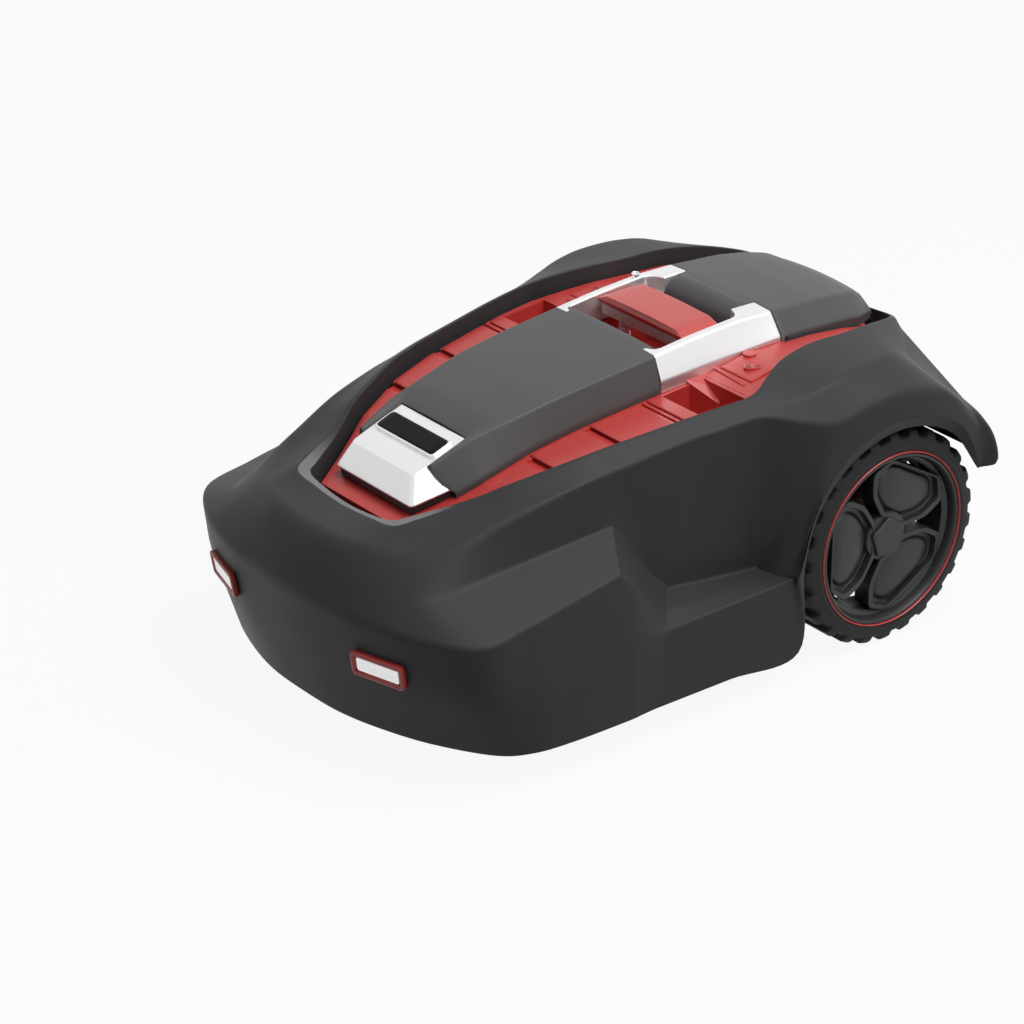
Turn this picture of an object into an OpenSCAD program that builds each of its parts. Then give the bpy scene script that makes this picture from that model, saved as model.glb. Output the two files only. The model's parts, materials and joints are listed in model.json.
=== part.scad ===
// Robotic lawn mower: floating outer shell on a chassis, two driven rear wheels, two front
// casters, a height-adjustable blade disc, a sprung stop bar and a hinged rear lid.
// Millimetres. Front is -Y, left-hand side is +X, the ground is z = 0.

/* [Body] */
// Overall length of the shell
body_l = 600; // [500:5:720]
// Overall width over the fenders
body_w = 406; // [340:2:480]
// Thickness of the shell's wall
shell_t = 2.5; // [2:0.1:3]
// Depth of the wall that hangs inside the shell's top opening
rim_wall = 20; // [12:1:24]
// How far the shell can shift on its rubber posts, each way
bump_travel = 5; // [3:0.5:6]

/* [Rear wheels] */
// Diameter over the tyre's lugs
wheel_d = 194; // [162:2:210]
// Width of the tyre
tyre_w = 45; // [36:1:54]
// Number of lugs round the tyre
lugs = 26; // [20:1:30]
// Height of a lug over the tyre's sidewall
lug_h = 6; // [4:0.5:8]
// Diameter of the coloured ring on the wheel's face
ring_d = 157.5; // [130:0.5:160]
// Diameter of the drive shaft
axle_d = 12; // [10:0.5:14]
// Gap between the lugs and the fender's arch
arch_gap = 9; // [7:0.5:12]

/* [Front casters] */
// Diameter of a caster wheel
caster_d = 60; // [50:1:70]
// Width of a caster wheel
caster_w = 22; // [18:1:26]
// Distance from the swivel axis back to the wheel's axle
caster_trail = 18; // [12:1:22]
// Diameter of the caster's stem
stem_d = 10; // [8:0.5:12]
// Distance between the two swivel axes
caster_track = 190; // [170:2:210]

/* [Cutter] */
// Diameter of the blade disc
disc_d = 164; // [150:2:190]
// Length of a pivoting blade
blade_l = 36; // [30:1:40]
// Distance from the chassis floor down to the disc at the highest setting
disc_drop = 12; // [10:1:16]
// Travel of the cutting height
cut_travel = 36; // [20:1:40]
// Diameter of the two guide posts
post_d = 10; // [8:0.5:12]
// Diameter of the height screw
screw_d = 10; // [8:0.5:12]

/* [Controls] */
// Width of the stop bar along the mower
stop_w = 41; // [34:1:46]
// How far the stop bar goes down
stop_travel = 3; // [2:0.5:5]
// Diameter of the height knob
knob_d = 42; // [32:1:46]
// How far a key goes down
key_travel = 1; // [0.6:0.1:1.5]
// Diameter of the lid's hinge pins
pin_d = 4; // [3:0.5:5]

/* [Clearances] */
// Gap between two pieces that sit on each other
seat_gap = 0.3; // [0.2:0.05:0.5]
// Radial clearance of a shaft in its bore
run_gap = 0.05; // [0.02:0.01:0.1]
// Side gap round keys, covers and windows
side_gap = 0.6; // [0.4:0.1:1]

/* [Hidden] */
$fn = 48;

kx = body_w / 406;
ky = body_l / 600;
axle_y = 189 * ky;
axle_z = wheel_d / 2;
arch_r = wheel_d / 2 + arch_gap;

// A point of the wheel arch: phi runs from the arch's front at axle height, over the top
function arch_at(x, phi, r) = [x, (axle_y - r * cos(phi)) / ky, axle_z + r * sin(phi)];

// The shell's feature lines, from the front centre round the left side to the rear centre.
// Each is a row of stations, and the rows go from the opening's rim down to the hem.
rim_row = [
  [0, -233, 184], [34, -232, 186], [56, -230, 190], [64, -218, 193], [79, -190, 200],
  [91, -170, 207], [103, -148, 216], [121, -100, 229], [126, -78, 233], [130, -57, 236],
  [137, -12, 241], [143, 28, 245], [147, 66, 248], [137, 92, 254], [126, 118, 259],
  [118, 155, 260], [117, 190, 259], [110, 228, 255], [97, 264, 247], [82, 280, 241],
  [48, 289, 234], [0, 290, 231]
];
lip_row = [
  [0, -241, 186], [38, -240, 188], [66, -237, 190.5], [76, -219, 195], [86, -192, 201],
  [96, -172, 207], [107, -149, 216], [124, -101, 228.5], [129, -79, 232.5], [133, -58, 235.5],
  [140, -13, 240.5], [146, 27, 244.5], [150, 66, 247.5], [141, 92, 253.5], [130, 118, 258.5],
  [122, 156, 259.5], [121, 190, 258.5], [114, 229, 254.5], [101, 266, 246], [85, 283, 240],
  [49, 292, 232], [0, 293, 229]
];
plate_row = [
  [0, -262, 184], [38, -260, 184.5], [70, -253, 184.5], [88, -235, 186], [102, -208, 192],
  [113, -182, 200], [123, -150, 210], [134, -104, 221.5], [138, -80, 225.5], [142, -60, 229],
  [148, -11, 235], [153, 25, 238.5], [160, 66, 241.5], [173, 100, 241], [177, 122, 245],
  [177, 148, 249.5], [172, 186, 250], [162, 216, 247], [146, 246, 232], [124, 278, 212],
  [64, 294, 213], [0, 295, 213]
];
shoulder_row = [
  [0, -279, 182], [40, -276, 182], [72, -265, 181], [98, -250, 180], [118, -223, 185],
  [128, -186, 198], [137, -147, 209], [143, -105, 217], [146, -80, 220.5], [149, -62, 223],
  [155, -9, 230.5], [160, 23, 233], [166, 62, 235.5], [184, 95, 228], [196, 122, 225],
  [198, 158, 233], [198, 195, 234], [196, 240, 221], [188, 274, 190], [168, 290, 180],
  [80, 296, 190], [0, 296, 190]
];
foot_row = [
  [0, -292, 160], [42, -289, 160], [78, -280, 160], [112, -267, 158], [134, -245, 157],
  [141, -186, 164], [145, -147, 169], [150, -82, 176], [151, -68, 160], [153, -46, 125],
  [157, -29, 106], [160, 20, 101], [162, 64, 97], [184, 88, 160], [198, 112, 200],
  [201, 152, 221], [201, 195, 222], [200, 246, 205], [196, 280, 172], [176, 294, 165],
  [84, 298, 175], [0, 298, 175]
];
crease_row = [
  [0, -300, 134], [46, -298, 134], [90, -293, 134], [140, -278, 134], [187, -246, 133.5],
  [192, -200, 140], [192, -160, 147], [190, -106, 155], [190, -90, 140], [187, -68, 112],
  [178, -47, 100], [181, 12, 98], [183, 70, 96], [196, 88, 128], [202, 103, 172],
  [203, 142, 206], [203, 193, 211], [202, 247, 192], [200, 284, 156], [182, 297, 152],
  [86, 299, 158], [0, 299, 158]
];
sill_row = [
  [0, -292, 85], [46, -290, 85], [92, -284, 85], [143, -268, 85], [188, -242, 86],
  [199, -200, 88], [200, -160, 90], [200, -106, 92], [199, -90, 92], [197, -75, 92],
  [195, -63, 92], [195, 5, 94], [195, (axle_y - arch_r - 7) / ky, 96],
  for (phi = [3, 32, 62, 93, 125]) arch_at(202, phi, arch_r + 4),
  [200.5, 286, 142], [183, 297.5, 146], [87, 299.5, 147], [0, 300, 147]
];
hem_row = [
  [0, -281, 28], [46, -279, 28], [90, -269, 28], [135, -252, 28], [180, -224, 28],
  [196, -197, 28], [201, -160, 28], [202, -106, 28], [201, -90, 28], [200, -75, 28],
  [200, -63, 28], [200, 5, 28], [200, (axle_y - arch_r - 3) / ky, 28],
  for (phi = [3, 32, 62, 93, 125]) arch_at(199, phi, arch_r),
  [200, 284, 139], [183, 296, 142], [87, 298, 143], [0, 298, 143]
];
rows = [
  [for (p = rim_row) [max(0, p.x - 2), p.y + (p.y < -200 ? 2 : p.y > 260 ? -1 : 0), p.z - rim_wall]],
  rim_row, lip_row, plate_row, shoulder_row, foot_row, crease_row, sill_row, hem_row
];
inner_rows = [0, 2, 4, 5, 6, 7, 8];
stations = len(rim_row);
ring_n = 2 * (stations - 1);
steps = 2;
ribs = ring_n * steps;

// Station i of row r, going on round the right side as the mirror of the left
function around(r, i) = let (j = (i % ring_n + ring_n) % ring_n, m = j > stations - 1,
  p = rows[r][m ? ring_n - j : j]) [(m ? -1 : 1) * p.x * kx, p.y * ky, p.z];
// Catmull-Rom curve through four points
function curve(a, b, c, d, t) =
  0.5 * (2 * b + (c - a) * t + (2 * a - 5 * b + 4 * c - d) * t * t + (3 * b - 3 * c + d - a) * pow(t, 3));
// Rib k of row r
function on_row(r, k) = let (i = floor(k / steps), t = k / steps - i)
  curve(around(r, i - 1), around(r, i), around(r, i + 1), around(r, i + 2), t);
function unit(v) = v / max(norm(v), 0.001);
// The shell's outward normal on row r at rib k
function out_normal(r, k) = unit(cross(
  on_row(r, k + 1) - on_row(r, k - 1),
  on_row(max(r - 1, 0), k) - on_row(min(r + 1, len(rows) - 1), k)));
// Closed section of the shell's wall at rib k
function section(k) = [
  for (r = [0 : len(rows) - 1]) on_row(r, k),
  for (i = [len(inner_rows) - 1 : -1 : 0]) on_row(inner_rows[i], k) - shell_t * out_normal(inner_rows[i], k)
];

// Height and half-width of the shell's opening at a place along the mower
function rim_z(y) = lookup(y / ky, [for (i = [1 : stations - 1]) [rim_row[i].y, rim_row[i].z]]);
function rim_x(y) = kx * lookup(y / ky, [for (i = [1 : stations - 1]) [rim_row[i].y, rim_row[i].x]]);

// The red deck lies a little below the opening's rim and clears it as the shell shifts
deck_drop = 13;
rim_gap = 5;
deck_t = 3;
deck_front = -222 * ky;
deck_rear = 270 * ky;
split_z = 150;
flange_t = 3;
function deck_z(y) = rim_z(y) - deck_drop;
function deck_x(y) = min(rim_x(y - bump_travel), rim_x(y + bump_travel)) - rim_gap;
deck_ys = [
  for (y = [-222, -190, -170, -148, -100, -57, -12, 28, 66, 92, 118, 155, 190, 228, 255, 270]) y * ky
];

// Top line of the covers along the middle of the mower: half-width and height of its edge
spine = [
  [-210, 46, 212], [-190, 47, 220], [-150, 52, 236], [-112, 57, 244], [-75, 61.5, 251.5],
  [-24, 64, 258], [32, 65, 263.5], [75, 65, 268], [122, 65, 271], [160, 65, 270],
  [212, 63.5, 266.5], [241, 60.5, 262.5], [262, 56, 258], [273, 52, 252]
];
function spine_x(y) = kx * lookup(y / ky, [for (p = spine) [p.x, p.y]]);
function spine_z(y) = lookup(y / ky, [for (p = spine) [p.x, p.z]]);
// Lower edge of the covers' side faces
function skirt_x(y) = kx * lookup(y / ky,
  [[-190, 58], [-150, 68], [32, 74], [160, 79], [250, 78], [273, 68]]);
cover_t = 2.5;
crown_h = 2;
notch_x = 43 * kx;
notch_y = -146.5 * ky;
nose_front = -209 * ky;
cover_rear = 32 * ky;
frame_rear = 159 * ky;
well_x = 61 * kx;
well_front = 40 * ky;
well_rear = 168 * ky;
well_z = 208;
window_x = 57 * kx;
window_front = 41 * ky;
window_rear = 131 * ky;
strip_y = 124 * ky;
sensor_x = 61 * kx;

// Rear lid: its front edge is rolled into a barrel between the frame's two prongs. The hinge
// pins stand ahead of the barrel's middle, so that the lid's edge rises clear of the prongs.
barrel_r = 17;
barrel_y = 150 * ky;
barrel_z = 254;
hinge_y = barrel_y - 10;
hinge_z = barrel_z + 8;
lid_front = frame_rear + 2;
lid_rear = 272 * ky;
lid_low = 236;
pocket_x = 82 * kx;
pocket_z = 226;
pad_y = 255 * ky;

// Stop bar: a red cap on a white grip, whose two legs slide in the well's floor
stop_y = 90.5 * ky;
stop_x = window_x - 1.5;
stop_top = 272.5;
stop_low = 262;
grip_h = 10;
leg_d = 8;
leg_x = stop_x - 11;
guide_h = 8;
spring_wire = 1.4;

// Chassis pan
wheel_out = body_w / 2 - 10;
wheel_in = wheel_out - tyre_w;
pan_x = wheel_in - 14;
pan_front = -236 * ky;
pan_rear = 280 * ky;
pan_t = 3;
gearbox_d = 46;
gearbox_l = 26;
motor_d = 40;
motor_in = 40;
floor_z = axle_z - gearbox_d / 2 - seat_gap;
pan_low = floor_z - pan_t;

// Wheels
ring_w = 2;
rim_r = ring_d / 2 - ring_w;
tread_r = wheel_d / 2 - lug_h;
hub_r = 22;

// Casters
caster_y = -195 * ky;
crown_low = caster_d + 2;
crown_t = 5;
well_top = max(pan_low, crown_low + crown_t + 2);
caster_sweep = caster_trail + caster_d / 2 + 3;
boss_h = 30;
caster_axle_d = 8;
arm_t = 3;

// Cutter
disc_y = 25 * ky;
guard_r = disc_d / 2 + blade_l;
guard_low = pan_low - 30;
disc_top = pan_low - disc_drop;
disc_t = 2.5;
blade_t = 1;
pivot_r = disc_d / 2 - 7;
shaft_d = 8;
carriage_z = floor_z + cut_travel + 4;
carriage_t = 6;
blade_motor_d = 54;
blade_motor_h = 40;
guide_x = 52;
post_top = carriage_z + carriage_t + 44;
screw_y = 192 * ky;
nut_h = 20;
knob_h = 18;
battery_x = 44;
battery_l = 70;
battery_h = 52;
battery_rear = disc_y - guard_r - 15;
battery_front = battery_rear - battery_l;

// Control panel under the lid
panel_z = 232;
panel_t = 3;
panel_x = 60 * kx;
panel_front = screw_y - 22 * ky;
panel_rear = 250 * ky;
key_w = 11;
key_l = 9;
key_xs = [16, 40];
key_ys = [223 * ky, 238 * ky];
display_x = -24;
display_y = 230.5 * ky;
display_w = 52;
display_l = 24;

// The shell's four rubber posts stand at the middle of a station, between two feature lines
post_r = 4;
cup_r = post_r + bump_travel + 1;
cup_wall = 2;
cup_h = 14;
cup_neck = 17;
// A point on the shell between row r and the next one
function between(r, i, f) = around(r, i) * (1 - f) + around(r + 1, i) * f;
post_points = [between(3, 4, 0.5), between(2, 17, 0.35)];

// Charging contacts lie on the shell's front face, turned and tilted with it
contact_w = 53;
contact_h = 23;
contact_t = 4;
contact_at = [106.5 * kx, -282.35 * ky, 94.5];
contact_turn = atan2(13.8 * ky, 51 * kx);
contact_tilt = 10;

// ---------- helpers ----------
module at(x, y, z) { translate([x, y, z]) children(); }
module both_sides() {
  children();
  mirror([1, 0, 0]) children();
}
// A bar along X from x0 to x1
module bar_x(d, x0, x1) { translate([x0, 0, 0]) rotate([0, 90, 0]) cylinder(d = d, h = x1 - x0); }
module tube(od, id, h) {
  difference() {
    cylinder(d = od, h = h);
    translate([0, 0, -1]) cylinder(d = id, h = h + 2);
  }
}
// A block given by its lowest and highest corners
module block(a, b) { translate(a) cube(b - a); }
// A solid through rings of points, closed at both ends. An arch's ring runs along its outer
// face and back along its inner face, so its ends are closed by strips between the two.
module loft(rings, arch = false) {
  n = len(rings[0]);
  m = len(rings);
  points = [for (ring = rings) each ring];
  sides = [for (i = [0 : m - 2], j = [0 : n - 1])
    each [[i * n + j, i * n + (j + 1) % n, (i + 1) * n + j],
          [i * n + (j + 1) % n, (i + 1) * n + (j + 1) % n, (i + 1) * n + j]]];
  e = (m - 1) * n;
  caps = arch
    ? [for (j = [0 : n / 2 - 2]) each [[n - 1 - j, n - 2 - j, j], [n - 2 - j, j + 1, j],
        [e + j, e + j + 1, e + n - 2 - j], [e + j, e + n - 2 - j, e + n - 1 - j]]]
    : [[for (j = [n - 1 : -1 : 0]) j], [for (j = [0 : n - 1]) e + j]];
  polyhedron(points, concat(sides, caps), convexity = 6);
}
// Cross-section of a cover at y, an arch with vertical skirts: half-width and height of its
// skirt's foot, of its chamfer's foot and of its top edge
function arch_ring(y, xs, zl, zc, xp, zp, t = cover_t) = [
  for (p = [[xs, zl], [xs, zc], [xp, zp], [xp / 2, zp + crown_h * 0.75], [0, zp + crown_h],
      [-xp / 2, zp + crown_h * 0.75], [-xp, zp], [-xs, zc], [-xs, zl],
      [t - xs, zl], [t - xs, zc - t / 3], [0.6 * t - xp, zp - t], [-xp / 2, zp + crown_h * 0.75 - t],
      [0, zp + crown_h - t], [xp / 2, zp + crown_h * 0.75 - t], [xp - 0.6 * t, zp - t],
      [xs - t, zc - t / 3], [xs - t, zl]]) [p.x, y, p.y]
];
// A slab between two heights whose outline runs along both sides from front to rear
module plan_slab(edge, z0, z1) {
  translate([0, 0, z0]) linear_extrude(z1 - z0)
    polygon(concat(edge, [for (i = [len(edge) - 1 : -1 : 0]) [-edge[i].x, edge[i].y]]));
}
// A prism along X with its profile in Y and Z
module side_prism(profile, x0, x1) {
  translate([x0, 0, 0]) rotate([90, 0, 90]) linear_extrude(x1 - x0) polygon(profile);
}
// A coil spring standing on z = 0
module coil(r, wire, turns, h) {
  n = turns * 14;
  loft([for (i = [0 : n]) let (a = 360 * turns * i / n, z = wire / 2 + (h - wire) * i / n)
    [for (k = [0 : 60 : 300]) let (q = r + wire / 2 * cos(k))
      [q * cos(a), q * sin(a), z + wire / 2 * sin(k)]]]);
}

// ---------- shell ----------
module outer_shell() {
  sections = [for (k = [0 : ribs - 1]) section(k)];
  n = len(sections[0]);
  color("#3d3d3f")
    polyhedron([for (ring = sections) each ring],
      [for (k = [0 : ribs - 1], j = [0 : n - 1])
        let (a = k * n + j, b = k * n + (j + 1) % n,
          c = (k + 1) % ribs * n + j, d = (k + 1) % ribs * n + (j + 1) % n)
        each [[a, c, d], [a, d, b]]], convexity = 10);
}
// A ring under the shell's skin that rides over a rubber post
module cup(p) {
  top = p.z - cup_neck;
  at(p.x, p.y, top - 1) cylinder(d = 8, h = cup_neck + 1 - shell_t / 2);
  at(p.x, p.y, top - cup_h) difference() {
    cylinder(r = cup_r + cup_wall, h = cup_h);
    translate([0, 0, -1]) cylinder(r = cup_r, h = cup_h - cup_wall + 1);
  }
}
module shell_cups() {
  color("#303032") both_sides() { for (p = post_points) cup(p); }
}
// Places a child, drawn flat on z = 0 with its face to +Z, on the shell's contact face
module on_contact() {
  translate(contact_at) rotate([0, 0, contact_turn]) rotate([90 + contact_tilt, 0, 0]) children();
}
module contact_frames() {
  color("#b01a14") both_sides() on_contact() difference() {
    block([-contact_w / 2, -contact_h / 2, 0], [contact_w / 2, contact_h / 2, contact_t]);
    block([-contact_w / 2 + 5, -contact_h / 2 + 5, 1], [contact_w / 2 - 5, contact_h / 2 - 5, contact_t + 1]);
  }
}
module contact_plates() {
  color("#c8c8c8") both_sides() on_contact() block(
    [-contact_w / 2 + 5.5, -contact_h / 2 + 5.5, 1],
    [contact_w / 2 - 5.5, contact_h / 2 - 5.5, contact_t - 1]);
}

// ---------- chassis ----------
pan_edge = [[pan_x - 14, pan_front], [pan_x, pan_front + 36], [pan_x, pan_rear - 20], [pan_x - 20, pan_rear]];
function inset(edge, d) = [for (p = edge)
  [p.x - d, p.y > pan_rear - 1 ? p.y - d : p.y < pan_front + 1 ? p.y + d : p.y]];
chassis_bolts = [[pan_x - 9, -180 * ky], [pan_x - 14, -20 * ky], [pan_x - 9, 190 * ky]];
cover_bolts = [[battery_x + 6, battery_front + 10], [battery_x + 6, battery_rear - 10]];

module lower_chassis() {
  color("#2a2a2c") difference() {
    union() {
      difference() {
        plan_slab(pan_edge, pan_low, split_z);
        plan_slab(inset(pan_edge, pan_t), floor_z, split_z + 1);
      }
      at(0, disc_y, guard_low) tube(2 * guard_r + 6, 2 * guard_r, pan_low - guard_low + 1);
      both_sides() {
        at(caster_track / 2, caster_y, pan_low) {
          cylinder(r = caster_sweep + 3, h = well_top + pan_t - pan_low);
          cylinder(d = stem_d + 12, h = well_top - pan_low + boss_h);
        }
        for (p = chassis_bolts) {
          at(p.x, p.y, split_z - 30) cylinder(d = 12, h = 30);
          block([p.x, p.y - 3, split_z - 30], [pan_x - 1, p.y + 3, split_z]);
        }
        at(guide_x, disc_y, pan_low) cylinder(d = post_d + 8, h = pan_t + 3);
      }
      at(0, screw_y, pan_low) cylinder(d = screw_d + 8, h = pan_t + 3);
    }
    at(0, disc_y, pan_low - 1) cylinder(d = blade_motor_d + 8, h = pan_t + 2);
    block([-battery_x - 2, battery_front - 2, pan_low - 1], [battery_x + 2, battery_rear + 2, floor_z + 1]);
    at(0, screw_y, floor_z) cylinder(d = screw_d + 2 * run_gap, h = 20);
    both_sides() {
      at(caster_track / 2, caster_y, pan_low - 1) {
        cylinder(r = caster_sweep, h = well_top - pan_low + 1);
        cylinder(d = stem_d + 2 * run_gap, h = boss_h + 60);
      }
      for (p = chassis_bolts) at(p.x, p.y, split_z - 20) cylinder(d = 4, h = 30);
      for (p = cover_bolts) at(p.x, p.y, pan_low - 1) cylinder(d = 3, h = pan_t + 2);
      at(guide_x, disc_y, floor_z) cylinder(d = post_d, h = 20);
      at(pan_x - 10, axle_y, axle_z) bar_x(axle_d + 4, 0, 20);
    }
  }
}

// Envelope of the upper chassis, grown inward by d
module deck_body(d) {
  ys = [for (y = deck_ys) min(max(y, deck_front + d), deck_rear - d)];
  intersection() {
    plan_slab([for (y = ys) [deck_x(y) - d, y]], split_z - (d > 0 ? 1 : 0), 300);
    side_prism(
      concat([[ys[0], split_z - 1]], [for (y = ys) [y, deck_z(y) - d]], [[ys[len(ys) - 1], split_z - 1]]),
      -body_w / 2, body_w / 2);
  }
}
module well(d) {
  block([-well_x - d, well_front - d, well_z - d], [well_x + d, well_rear + d, 300]);
}
module lid_pocket(d) {
  block([-pocket_x - d, frame_rear + 1 - d, pocket_z - d], [pocket_x + d, deck_rear + d, 300]);
}
side_well = [[78 * kx, 14 * ky], [deck_x(40 * ky) - 6, 74 * ky]];
side_well_z = 195;
module side_wells(d) {
  both_sides() block([side_well[0].x - d, side_well[0].y - d, side_well_z - d],
    [side_well[1].x + d, side_well[1].y + d, 300]);
}
module upper_chassis() {
  flange_ys = [pan_front + 10, -190 * ky, -100 * ky, 0, 66 * ky, 150 * ky, 228 * ky, deck_rear - 14];
  flange_inner = [for (y = flange_ys) [min(pan_x, deck_x(y)) - 20, y]];
  color("#b01a14") difference() {
    union() {
      difference() {
        deck_body(0);
        deck_body(deck_t);
        well(deck_t + seat_gap);
        lid_pocket(deck_t + seat_gap);
        side_wells(deck_t + seat_gap);
        // Grooves between the raised plates beside the front cover
        both_sides() for (y = [-108, -48, 11] * ky)
          block([76 * kx, y - 4, deck_z(y) - 2], [200, y + 4, 300]);
      }
      difference() {
        plan_slab(pan_edge, split_z, split_z + flange_t);
        plan_slab(flange_inner, split_z - 1, split_z + flange_t + 1);
      }
      both_sides() {
        at(post_points[1].x, post_points[1].y, split_z)
          cylinder(d = 14, h = post_points[1].z - cup_neck - cup_h - 8 - split_z);
        at(84 * kx, 120 * ky, deck_z(120 * ky) - deck_t) cylinder(d = 12, h = 6);
      }
    }
    both_sides() for (p = chassis_bolts) at(p.x, p.y, split_z - 1) cylinder(d = 4.4, h = flange_t + 2);
  }
}
// The tray sunk in the deck: the finger well in front and the bay for the controls behind it
module deck_tray() {
  color("#b01a14") difference() {
    union() {
      difference() {
        intersection() {
          deck_body(0);
          union() {
            well(deck_t);
            lid_pocket(deck_t);
          }
        }
        well(0);
        lid_pocket(0);
      }
      both_sides() {
        at(leg_x, stop_y, well_z - deck_t) cylinder(d = leg_d + 8, h = deck_t + guide_h);
        at(75 * kx, pad_y, pocket_z - 1) cylinder(d = 7, h = lid_low - seat_gap - pocket_z + 1);
      }
    }
    at(0, screw_y, pocket_z - 10) cylinder(d = screw_d + 2, h = 20);
    both_sides() at(leg_x, stop_y, well_z - 10) cylinder(d = leg_d + 2 * run_gap, h = 40);
  }
}
module side_trays() {
  color("#b01a14") difference() {
    intersection() {
      deck_body(0);
      side_wells(deck_t);
    }
    side_wells(0);
  }
}
module shell_posts() {
  color("#1c1c1c") both_sides() for (i = [0, 1]) let (p = post_points[i],
    top = p.z - cup_neck - cup_wall - seat_gap,
    base = i == 0 ? split_z + flange_t : p.z - cup_neck - cup_h - 8) at(p.x, p.y, base) {
    cylinder(r = post_r, h = top - base);
    cylinder(r = post_r + 2, h = 3);
  }
}
module chassis_screws() {
  color("#909090") both_sides() for (p = chassis_bolts) at(p.x, p.y, split_z - 12) {
    cylinder(d = 3.9, h = flange_t + 13);
    at(0, 0, flange_t + 12) cylinder(d = 8, h = 3);
  }
}
module battery_pack() {
  color("#3a4048") block([-battery_x, battery_front, pan_low + seat_gap],
    [battery_x, battery_rear, pan_low + battery_h]);
}
module battery_cover() {
  color("#2a2a2c") difference() {
    block([-battery_x - 11, battery_front - 11, pan_low - 2.5], [battery_x + 11, battery_rear + 11, pan_low]);
    both_sides() for (p = cover_bolts) at(p.x, p.y, pan_low - 4) cylinder(d = 3.4, h = 6);
  }
}
module battery_screws() {
  color("#909090") both_sides() for (p = cover_bolts) at(p.x, p.y, pan_low - 4) {
    cylinder(d = 2.9, h = 4 + pan_t);
    cylinder(d = 7, h = 1.5);
  }
}
module control_box() {
  color("#31523b") block([-90, pan_rear - pan_t - 54, floor_z + 0.2],
    [90, pan_rear - pan_t - 4, floor_z + 34]);
}
module drive_motor() {
  inner = pan_x - pan_t - gearbox_l;
  color("#6d6f72") at(0, axle_y, axle_z) difference() {
    union() {
      bar_x(gearbox_d, inner, pan_x - pan_t);
      bar_x(motor_d, motor_in, inner);
    }
    bar_x(axle_d + 2 * run_gap, inner + 6, pan_x);
  }
}
module drive_motor_left() { drive_motor(); }
module drive_motor_right() { mirror([1, 0, 0]) drive_motor(); }
module guide_posts() {
  color("#b8b8b8") both_sides() at(guide_x, disc_y, floor_z) cylinder(d = post_d, h = post_top - floor_z);
}

// ---------- covers ----------
module front_cover() {
  ys = [for (y = [-190, -170, -148, -100, -57, -12, 28, 32]) y * ky];
  front_edge = [[-186, 222], [-181, 213], [-173, 203.5], [-164, 201.5], [-160, 180]];
  color("#5f5f60") difference() {
    loft([for (y = ys)
      arch_ring(y, skirt_x(y), deck_z(y) + seat_gap, deck_z(y) + 4, spine_x(y), spine_z(y))], true);
    side_prism(concat([[-200 * ky, 300]], [for (p = front_edge) [p.x * ky, p.y]], [[-200 * ky, 180]]),
      -100, 100);
    block([-notch_x, -200 * ky, 150], [notch_x, notch_y, 300]);
  }
}
module nose_piece() {
  ys = [nose_front, -199 * ky, -188 * ky];
  color("#d9d9db") difference() {
    union() {
      loft([
        arch_ring(nose_front, 51 * kx, deck_z(nose_front) + 6, 191, 49 * kx, 193, 2),
        arch_ring(-199 * ky, 55 * kx, deck_z(-199 * ky) + seat_gap, 194, 41 * kx, 214, 2),
        arch_ring(-188 * ky, 57 * kx, deck_z(-188 * ky) + seat_gap, 195, 41.5 * kx, 217.6, 2)
      ], true);
      loft([for (y = [-190 * ky, notch_y - side_gap])
        arch_ring(y, notch_x - side_gap, deck_z(y) + seat_gap, spine_z(y) - 8,
          notch_x - 1.5, 232 - (notch_y - y) * 0.345, 2)], true);
    }
    on_nose() block([-38 * kx, -10, -0.5], [38 * kx, 10, 20]);
  }
}
// Places a child on the nose's sloping top
module on_nose() { at(0, -168 * ky, 226) rotate([19, 0, 0]) children(); }
module badge_plate() {
  color("#161616") on_nose() block([-37 * kx, -9.5, -0.2], [37 * kx, 9.5, 2.8]);
}
module mid_frame() {
  ys = [for (y = [32.6, 66, 92, 118, 155, 159]) y * ky];
  function wall_top(y) = spine_z(y) - 1.2;
  low = barrel_z - 12;
  color("#dcdcde") difference() {
    union() {
      difference() {
        union() {
          loft([for (y = ys) arch_ring(y, skirt_x(y), deck_z(y) + seat_gap,
            lookup(y / ky, [[32, 243], [160, 251]]), spine_x(y), spine_z(y))], true);
          // Walls round the window and along the prongs
          both_sides() {
            side_prism([[window_front - 2, low], [window_front - 2, wall_top(window_front)],
              [window_rear + 2.5, wall_top(window_rear)], [window_rear + 2.5, low]],
              window_x - 1, window_x + 2.5);
            side_prism([[window_rear - 1, low], [window_rear - 1, wall_top(window_rear)],
              [frame_rear - 0.5, wall_top(frame_rear)], [frame_rear - 0.5, low]], notch_x - 1, notch_x + 4);
            block([notch_x + 1, window_rear - 1, low], [window_x, window_rear + 2.5, wall_top(window_rear)]);
          }
        }
        block([-window_x, window_front, 200], [window_x, window_rear, 300]);
        block([-notch_x, window_rear - 1, 200], [notch_x, frame_rear + 1, 300]);
      }
      block([-window_x - 1, strip_y - 3, 250], [window_x + 1, strip_y + 3, 255]);
    }
    at(0, hinge_y, hinge_z) bar_x(pin_d + 2 * run_gap, -notch_x - 10, notch_x + 10);
    at(-sensor_x, 117 * ky, 250) cylinder(d = 5, h = 30);
  }
}
module rain_sensor() {
  color("#d0d0d0") at(-sensor_x, 117 * ky, 262) {
    cylinder(d = 4.9, h = 11.5);
    at(0, 0, 10) cylinder(d = 7, h = 2.5);
  }
}

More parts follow.
